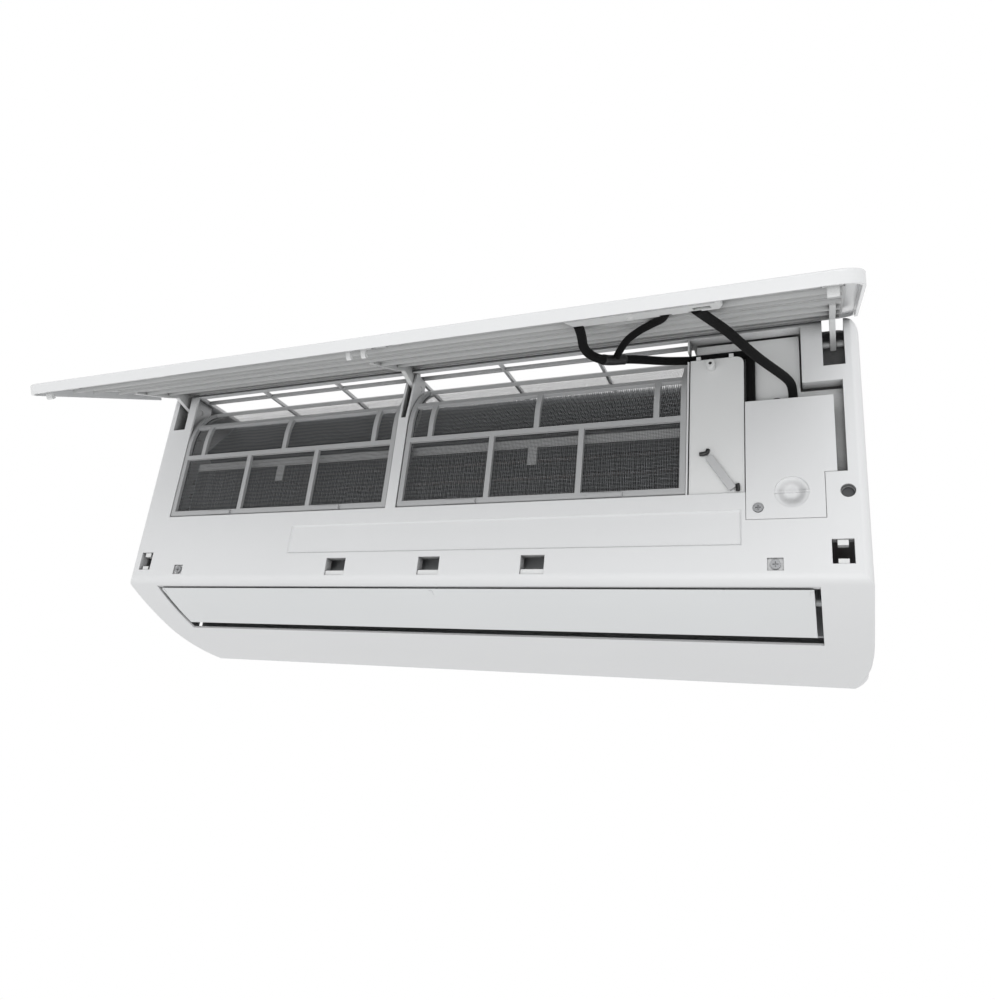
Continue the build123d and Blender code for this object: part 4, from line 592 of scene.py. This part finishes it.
class INDOORUNIT_OT_coil(bpy.types.Operator):
    """Fins, tubes and return bends of the coil behind the filters"""
    bl_idname = "indoor_unit.coil"
    bl_label = "Coil"
    bl_options = {"REGISTER", "UNDO"}

    def execute(self, context):
        colours, sizes = settings(context)
        packs = [metres(((0, *start), (0, *end))) for start, end in FIN_PACKS]

        fins = bmesh.new()
        along = Vector((1, 0, 0))
        count = int((FIN_ENDS[1] - FIN_ENDS[0]) / sizes.fin_pitch)
        for a, b in packs:
            run = (b - a).normalized()
            tilt = Matrix((along, run.cross(along).normalized(), run)).transposed().to_4x4()
            size = Matrix.Diagonal((sizes.fin_thickness, FIN_DEPTH, (b - a).length, 1))
            for i in range(count):
                x = FIN_ENDS[0] + (i + 0.5) * sizes.fin_pitch
                place = Matrix.Translation((a + b) / 2 + along * x)
                bmesh.ops.create_cube(fins, size=1, matrix=place @ tilt @ size)
        # Pressed aluminium: soft grey edges with streaks along each fin.
        aluminium = metal("coil_fin_pressed_aluminium", colours.fins, roughness=0.42, grain=6 * MM,
                          stretch=(1, 1, 0.2))
        comb = make_object("coil_fins", fins, aluminium, "casing", smooth=False)
        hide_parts("evaporator_fins")

        # Tarnished copper: brown and half dull, with marks drawn out along the tube.
        copper = metal("coil_tube_tarnished_copper", colours.tarnish, roughness=0.5, grain=5 * MM,
                       stretch=(0.15, 1, 1))
        tubes, bends = bmesh.new(), bmesh.new()
        sideways = Matrix.Rotation(math.pi / 2, 4, "Y")
        for pair in [pair for a, b in packs for pair in tube_pairs(a, b)]:
            for place in pair:
                middle = Matrix.Translation((sum(FIN_ENDS) / 2, place.y, place.z))
                bmesh.ops.create_cone(tubes, cap_ends=True, segments=TUBE_SIDES, radius1=TUBE_RADIUS,
                                      radius2=TUBE_RADIUS, depth=FIN_ENDS[1] - FIN_ENDS[0] - TUBE_SHORT,
                                      matrix=middle @ sideways)
            bend = tube_mesh(return_bend(*pair), TUBE_RADIUS, TUBE_SIDES)
            mesh = bpy.data.meshes.new("bend")
            bend.to_mesh(mesh)
            bend.free()
            bends.from_mesh(mesh)
            bpy.data.meshes.remove(mesh)
        make_object("coil_tubes", tubes, copper, "casing")
        turned = make_object("coil_return_bends", bends, copper, "casing")
        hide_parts("evaporator_return_bends")
        return {"FINISHED"}


class INDOORUNIT_OT_seal_strip(bpy.types.Operator):
    """The foam strip over the coil's bend, with its two tabs"""
    bl_idname = "indoor_unit.seal_strip"
    bl_label = "Seal strip"
    bl_options = {"REGISTER", "UNDO"}

    def execute(self, context):
        colours, _ = settings(context)
        bm = bmesh.new()
        lower, upper = metres((0, *edge) for edge in STRIP_EDGES)
        bands = [(sum(FIN_ENDS) / 2, FIN_ENDS[1] - FIN_ENDS[0], lower.z, upper.z)]
        bands += [(x, TAB_WIDTH, lower.z - TAB_DROP, lower.z) for x in TAB_PLACES]
        for x, width, bottom, top in bands:
            place = Matrix.Translation((x, lower.y, (bottom + top) / 2))
            size = Matrix.Diagonal((width, STRIP_THICK, top - bottom, 1))
            bmesh.ops.create_cube(bm, size=1, matrix=place @ size)
        # Closed-cell foam: a matt, slightly pebbled pale band.
        foam = moulded("seal_polyethylene_foam", colours.foam, roughness=0.85, grain=2 * MM, depth=0.3 * MM,
                       edge=0.5 * MM)
        strip = make_object("coil_seal_foam", bm, foam, "casing", smooth=False)
        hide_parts("coil_seal_strip")
        return {"FINISHED"}


# ---------------------------------------------------------------- finishes of the CAD nodes
class INDOORUNIT_OT_mouldings(bpy.types.Operator):
    """Finishes of the casing, panel, covers, louvre and chassis"""
    bl_idname = "indoor_unit.mouldings"
    bl_label = "Mouldings"
    bl_options = {"REGISTER", "UNDO"}

    def execute(self, context):
        colours, sizes = settings(context)
        edge = sizes.edge_radius
        # Satin ABS: an even off-white whose fine grain spreads the light, with painted shade in slots and
        # recesses.
        dress(moulded("casing_satin_abs", colours.casing, roughness=0.42, grain=GRAIN, depth=0.04 * MM,
                      edge=edge, painted_shade_reach=30 * MM), "front_frame", "intake_grille")
        # The same satin ABS, with the soft crescent of light that a finger dish gives.
        dress(moulded("terminal_cover_satin_abs", colours.casing, roughness=0.42, grain=GRAIN,
                      depth=0.04 * MM, edge=edge, dish=GRIP_DISH), "terminal_cover")
        # Gloss ABS: a polished skin with clear highlights and only long, faint waves.
        dress(moulded("panel_gloss_abs", colours.panel, roughness=0.2, grain=30 * MM, depth=0.06 * MM,
                      edge=1.5 * edge, coat=0.2), "panel_shell")
        # Plain polystyrene: a duller white than the casing, with painted shade in its grooves.
        dress(moulded("inner_moulding_polystyrene", colours.inner, roughness=0.5, grain=GRAIN,
                      depth=0.05 * MM, edge=edge, painted_shade_reach=20 * MM),
              "panel_latch_hooks", "panel_hinge_arms", "display_holder", "electrical_box", "control_cover",
              "latch_catches", "pipe_clamp")
        # Dark ABS: a small black dot at the bottom of its hole, its darkness partly the plunger's own and
        # partly painted shade of the hole.
        dress(moulded("run_button_dark_abs", colours.button, roughness=0.4, grain=GRAIN, depth=0.04 * MM,
                      edge=edge), "manual_button")
        # Plain polystyrene behind the panel: matt grey-white, so that its ribs read by shade, with painted
        # shade in its grooves; its grey is partly its own and partly painted shade of the panel's underside.
        dress(moulded("panel_back_polystyrene", colours.panel_back, roughness=0.5, grain=GRAIN,
                      depth=0.05 * MM, edge=edge, painted_shade_reach=20 * MM), "panel_inner_frame")
        # Satin ABS of the flap: as the casing, a little smoother.
        dress(moulded("louvre_satin_abs", colours.louvre, roughness=0.38, grain=GRAIN, depth=0.04 * MM,
                      edge=edge), "louvre")
        # Grey polystyrene: a coarse, dull moulding that is never meant to be seen.
        dress(moulded("chassis_polystyrene", colours.chassis, roughness=0.55, grain=2 * MM, depth=0.08 * MM,
                      edge=edge), "rear_chassis", "drain_pan", "motor_cover", "vane_holder_left",
              "vane_holder_right")
        return {"FINISHED"}


class INDOORUNIT_OT_filters(bpy.types.Operator):
    """Finishes of the two filters"""
    bl_idname = "indoor_unit.filters"
    bl_label = "Filters"
    bl_options = {"REGISTER", "UNDO"}

    def execute(self, context):
        colours, sizes = settings(context)
        # Natural polypropylene: waxy light grey with broad, soft highlights; the grey is partly its own and
        # partly painted shade of the unit's inside.
        dress(moulded("filter_frame_polypropylene", colours.filter_frame, roughness=0.45, grain=GRAIN,
                      depth=0.05 * MM, edge=sizes.edge_radius), "filter_frame_left", "filter_frame_right")
        # Woven net: a dark veil of fine squares that the coil shows through, with painted shade in waves for
        # its slack ripples.
        dress(woven_net("filter_net_woven_polypropylene", colours.filter_net, sizes.net_pitch,
                        sizes.net_thread), "filter_mesh_left", "filter_mesh_right")
        return {"FINISHED"}


class INDOORUNIT_OT_metalwork(bpy.types.Operator):
    """Finishes of the wall plate, coil ends, pipes, unions and screws"""
    bl_idname = "indoor_unit.metalwork"
    bl_label = "Metalwork"
    bl_options = {"REGISTER", "UNDO"}

    def execute(self, context):
        colours, _ = settings(context)
        # Galvanised sheet: grey with a patchwork of zinc crystals.
        dress(spangled("galvanised_sheet_steel", colours.zinc), "mounting_plate", "evaporator_end_plates")
        # Drawn copper: warm and bright, with slight clouds from handling.
        dress(metal("pipe_drawn_copper", colours.copper, roughness=0.3, grain=6 * MM),
              "liquid_pipe", "gas_pipe")
        # Turned brass: yellow with fine rings from the lathe.
        dress(metal("union_turned_brass", colours.brass, roughness=0.28, grain=1 * MM, stretch=(1, 0.1, 0.1)),
              "liquid_flare_union", "gas_flare_union")
        # Zinc-plated steel: cool grey, with painted shade in the cross of each screw.
        dress(metal("screw_zinc_plated_steel", colours.steel, roughness=0.35, grain=2 * MM, painted_shade_reach=1.5 * MM),
              "frame_screws", "cover_screw", "fan_shaft")
        return {"FINISHED"}


class INDOORUNIT_OT_airflow(bpy.types.Operator):
    """Finishes of the fan, vanes, motors and bearing"""
    bl_idname = "indoor_unit.airflow"
    bl_label = "Fan and vanes"
    bl_options = {"REGISTER", "UNDO"}

    def execute(self, context):
        colours, sizes = settings(context)
        edge = sizes.edge_radius
        # Glass-filled styrene: near black, with a slightly rough, greyish sheen.
        dress(moulded("fan_drum_filled_styrene", colours.fan, roughness=0.4, grain=1.5 * MM, depth=0.05 * MM,
                      edge=edge), "fan_drum")
        # Black ABS: dark satin blades and bars.
        vanes = [f"vane_{side}_{number}" for side in ("left", "right") for number in range(1, 5)]
        dress(moulded("vane_black_abs", colours.vanes, roughness=0.4, grain=GRAIN, depth=0.04 * MM,
                      edge=edge), "vane_link_left", "vane_link_right", *vanes)
        # Cast resin: a dull, blotchy cream.
        dress(moulded("motor_cast_resin", colours.resin, roughness=0.6, grain=3 * MM, depth=0.1 * MM,
                      edge=edge, cloud=0.15), "fan_motor", "louvre_motor")
        # Black rubber: almost no highlight.
        dress(moulded("bearing_black_rubber", colours.terminal, roughness=0.7, grain=2 * MM, depth=0.1 * MM,
                      edge=edge), "fan_bearing")
        return {"FINISHED"}


class INDOORUNIT_OT_electrics(bpy.types.Operator):
    """Finishes of the terminals, plugs, sensor clip and circuit boards"""
    bl_idname = "indoor_unit.electrics"
    bl_label = "Electrics"
    bl_options = {"REGISTER", "UNDO"}

    def execute(self, context):
        colours, sizes = settings(context)
        edge = sizes.edge_radius
        # Black nylon: dark, with small sharp highlights on crisp edges.
        dress(moulded("connector_black_nylon", colours.terminal, roughness=0.38, grain=GRAIN,
                      depth=0.04 * MM, edge=0.3 * edge), "terminal_block", "harness_plugs")
        # Acetal: a smooth, slick pale grey.
        dress(moulded("sensor_clip_acetal", colours.probe, roughness=0.35, grain=GRAIN, depth=0.03 * MM,
                      edge=edge), "room_sensor")
        # Solder mask: semi-gloss green that pools unevenly.
        dress(moulded("circuit_board_solder_mask", colours.board, roughness=0.35, grain=4 * MM,
                      depth=0.05 * MM, edge=0.2 * edge, cloud=0.25), "circuit_board", "display_board")
        return {"FINISHED"}


# ---------------------------------------------------------------- studio
class INDOORUNIT_OT_stage(bpy.types.Operator):
    """Pale floor, soft lamps and a white surround"""
    bl_idname = "indoor_unit.stage"
    bl_label = "Stage"
    bl_options = {"REGISTER", "UNDO"}

    def execute(self, context):
        colours, sizes = settings(context)
        scene = context.scene
        scene.view_settings.view_transform = "Standard"
        self.lay_floor(scene, colours.floor, sizes.floor_drop)
        self.surround(scene)
        self.hang_lamps(scene)
        return {"FINISHED"}

    def lay_floor(self, scene, base, drop):
        """Painted board that fades into the white surround with its distance."""
        bm = bmesh.new()
        bmesh.ops.create_circle(bm, segments=96, radius=FLOOR_RADIUS, cap_ends=True,
                                matrix=Matrix.Translation((0, -0.5, -drop)))
        mesh = bpy.data.meshes.new("studio_floor")
        bm.to_mesh(mesh)
        bm.free()
        floor = bpy.data.objects.new("studio_floor", mesh)
        scene.collection.objects.link(floor)
        # Painted board: matt and pale, with hardly any mottle, and glowing white far off.
        material, tree = new_material("floor_painted_board")
        place = add(tree, "ShaderNodeTexCoord").outputs["Object"]
        mottle = add(tree, "ShaderNodeTexNoise", {"Vector": place, "Scale": 1 / FLOOR_MOTTLE, "Detail": 4.0})
        distance = add(tree, "ShaderNodeVectorMath", {0: place}, operation="LENGTH")
        far = add(tree, "ShaderNodeMapRange", {"Value": distance.outputs["Value"],
                                               "From Min": FLOOR_FADE[0], "From Max": FLOOR_FADE[1]})
        paint = add(tree, "ShaderNodeBsdfPrincipled", {
            "Base Color": tinted(tree, base, mottle.outputs["Fac"], 0.02), "Roughness": 0.7})
        glow = add(tree, "ShaderNodeEmission", {"Strength": 1.0})
        mix = add(tree, "ShaderNodeMixShader", {0: far.outputs["Result"], 1: paint.outputs["BSDF"],
                                                2: glow.outputs["Emission"]})
        add(tree, "ShaderNodeOutputMaterial", {"Surface": mix.outputs["Shader"]})
        mesh.materials.append(material)

    def surround(self, scene):
        """White to the camera, in reflections and through glass, and a softer fill for the rest."""
        world = bpy.data.worlds.new("studio")
        scene.world = world
        world.use_nodes = True
        tree = world.node_tree
        tree.nodes.clear()
        rays = add(tree, "ShaderNodeLightPath")
        seen = rays.outputs["Is Camera Ray"]
        for kind in ("Is Glossy Ray", "Is Transmission Ray"):
            seen = add(tree, "ShaderNodeMath", {0: seen, 1: rays.outputs[kind]},
                       operation="MAXIMUM").outputs["Value"]
        backdrop = add(tree, "ShaderNodeBackground", {"Color": WHITE, "Strength": 1.0})
        fill = add(tree, "ShaderNodeBackground", {"Color": WHITE, "Strength": WORLD_FILL})
        mix = add(tree, "ShaderNodeMixShader", {0: seen, 1: fill.outputs["Background"],
                                                2: backdrop.outputs["Background"]})
        add(tree, "ShaderNodeOutputWorld", {"Surface": mix.outputs["Shader"]})

    def hang_lamps(self, scene):
        """Round soft lamps, aimed at the unit."""
        for name, place, width, watts in LAMPS:
            lamp = bpy.data.lights.new(name, "AREA")
            lamp.shape = "DISK"
            lamp.size = width
            lamp.energy = watts
            holder = bpy.data.objects.new(name, lamp)
            place = Vector(place)
            aim = (LAMP_AIM - place).to_track_quat("-Z", "Y").to_matrix().to_4x4()
            holder.matrix_world = Matrix.Translation(place) @ aim
            scene.collection.objects.link(holder)


# ---------------------------------------------------------------- sidebar and registration
STEPS = (INDOORUNIT_OT_camera, INDOORUNIT_OT_panel_cables, INDOORUNIT_OT_fixed_cable,
         INDOORUNIT_OT_sensor_wires, INDOORUNIT_OT_coil, INDOORUNIT_OT_seal_strip, INDOORUNIT_OT_mouldings,
         INDOORUNIT_OT_filters, INDOORUNIT_OT_metalwork, INDOORUNIT_OT_airflow, INDOORUNIT_OT_electrics,
         INDOORUNIT_OT_stage)


class INDOORUNIT_PT_sidebar(bpy.types.Panel):
    """Lists the pieces of the unit with their colours and sizes"""
    bl_label = "Indoor Unit"
    bl_idname = "INDOORUNIT_PT_sidebar"
    bl_space_type = "VIEW_3D"
    bl_region_type = "UI"
    bl_category = "Indoor Unit"

    def draw(self, context):
        for group in settings(context):
            for name in group.__annotations__:
                self.layout.prop(group, name)
        for step in STEPS:
            self.layout.operator(step.bl_idname)


CLASSES = (IndoorUnitColours, IndoorUnitSizes, *STEPS, INDOORUNIT_PT_sidebar)


def register():
    """Registers the classes and hangs the settings on the scene."""
    for cls in CLASSES:
        bpy.utils.register_class(cls)
    bpy.types.Scene.indoor_unit_colours = bpy.props.PointerProperty(type=IndoorUnitColours)
    bpy.types.Scene.indoor_unit_sizes = bpy.props.PointerProperty(type=IndoorUnitSizes)


def unregister():
    """Takes away what register added."""
    del bpy.types.Scene.indoor_unit_sizes
    del bpy.types.Scene.indoor_unit_colours
    for cls in reversed(CLASSES):
        bpy.utils.unregister_class(cls)


def main():
    """Makes everything, in order."""
    register()
    for step in STEPS:
        group, name = step.bl_idname.split(".")
        getattr(getattr(bpy.ops, group), name)()


if __name__ == "__main__":
    main()
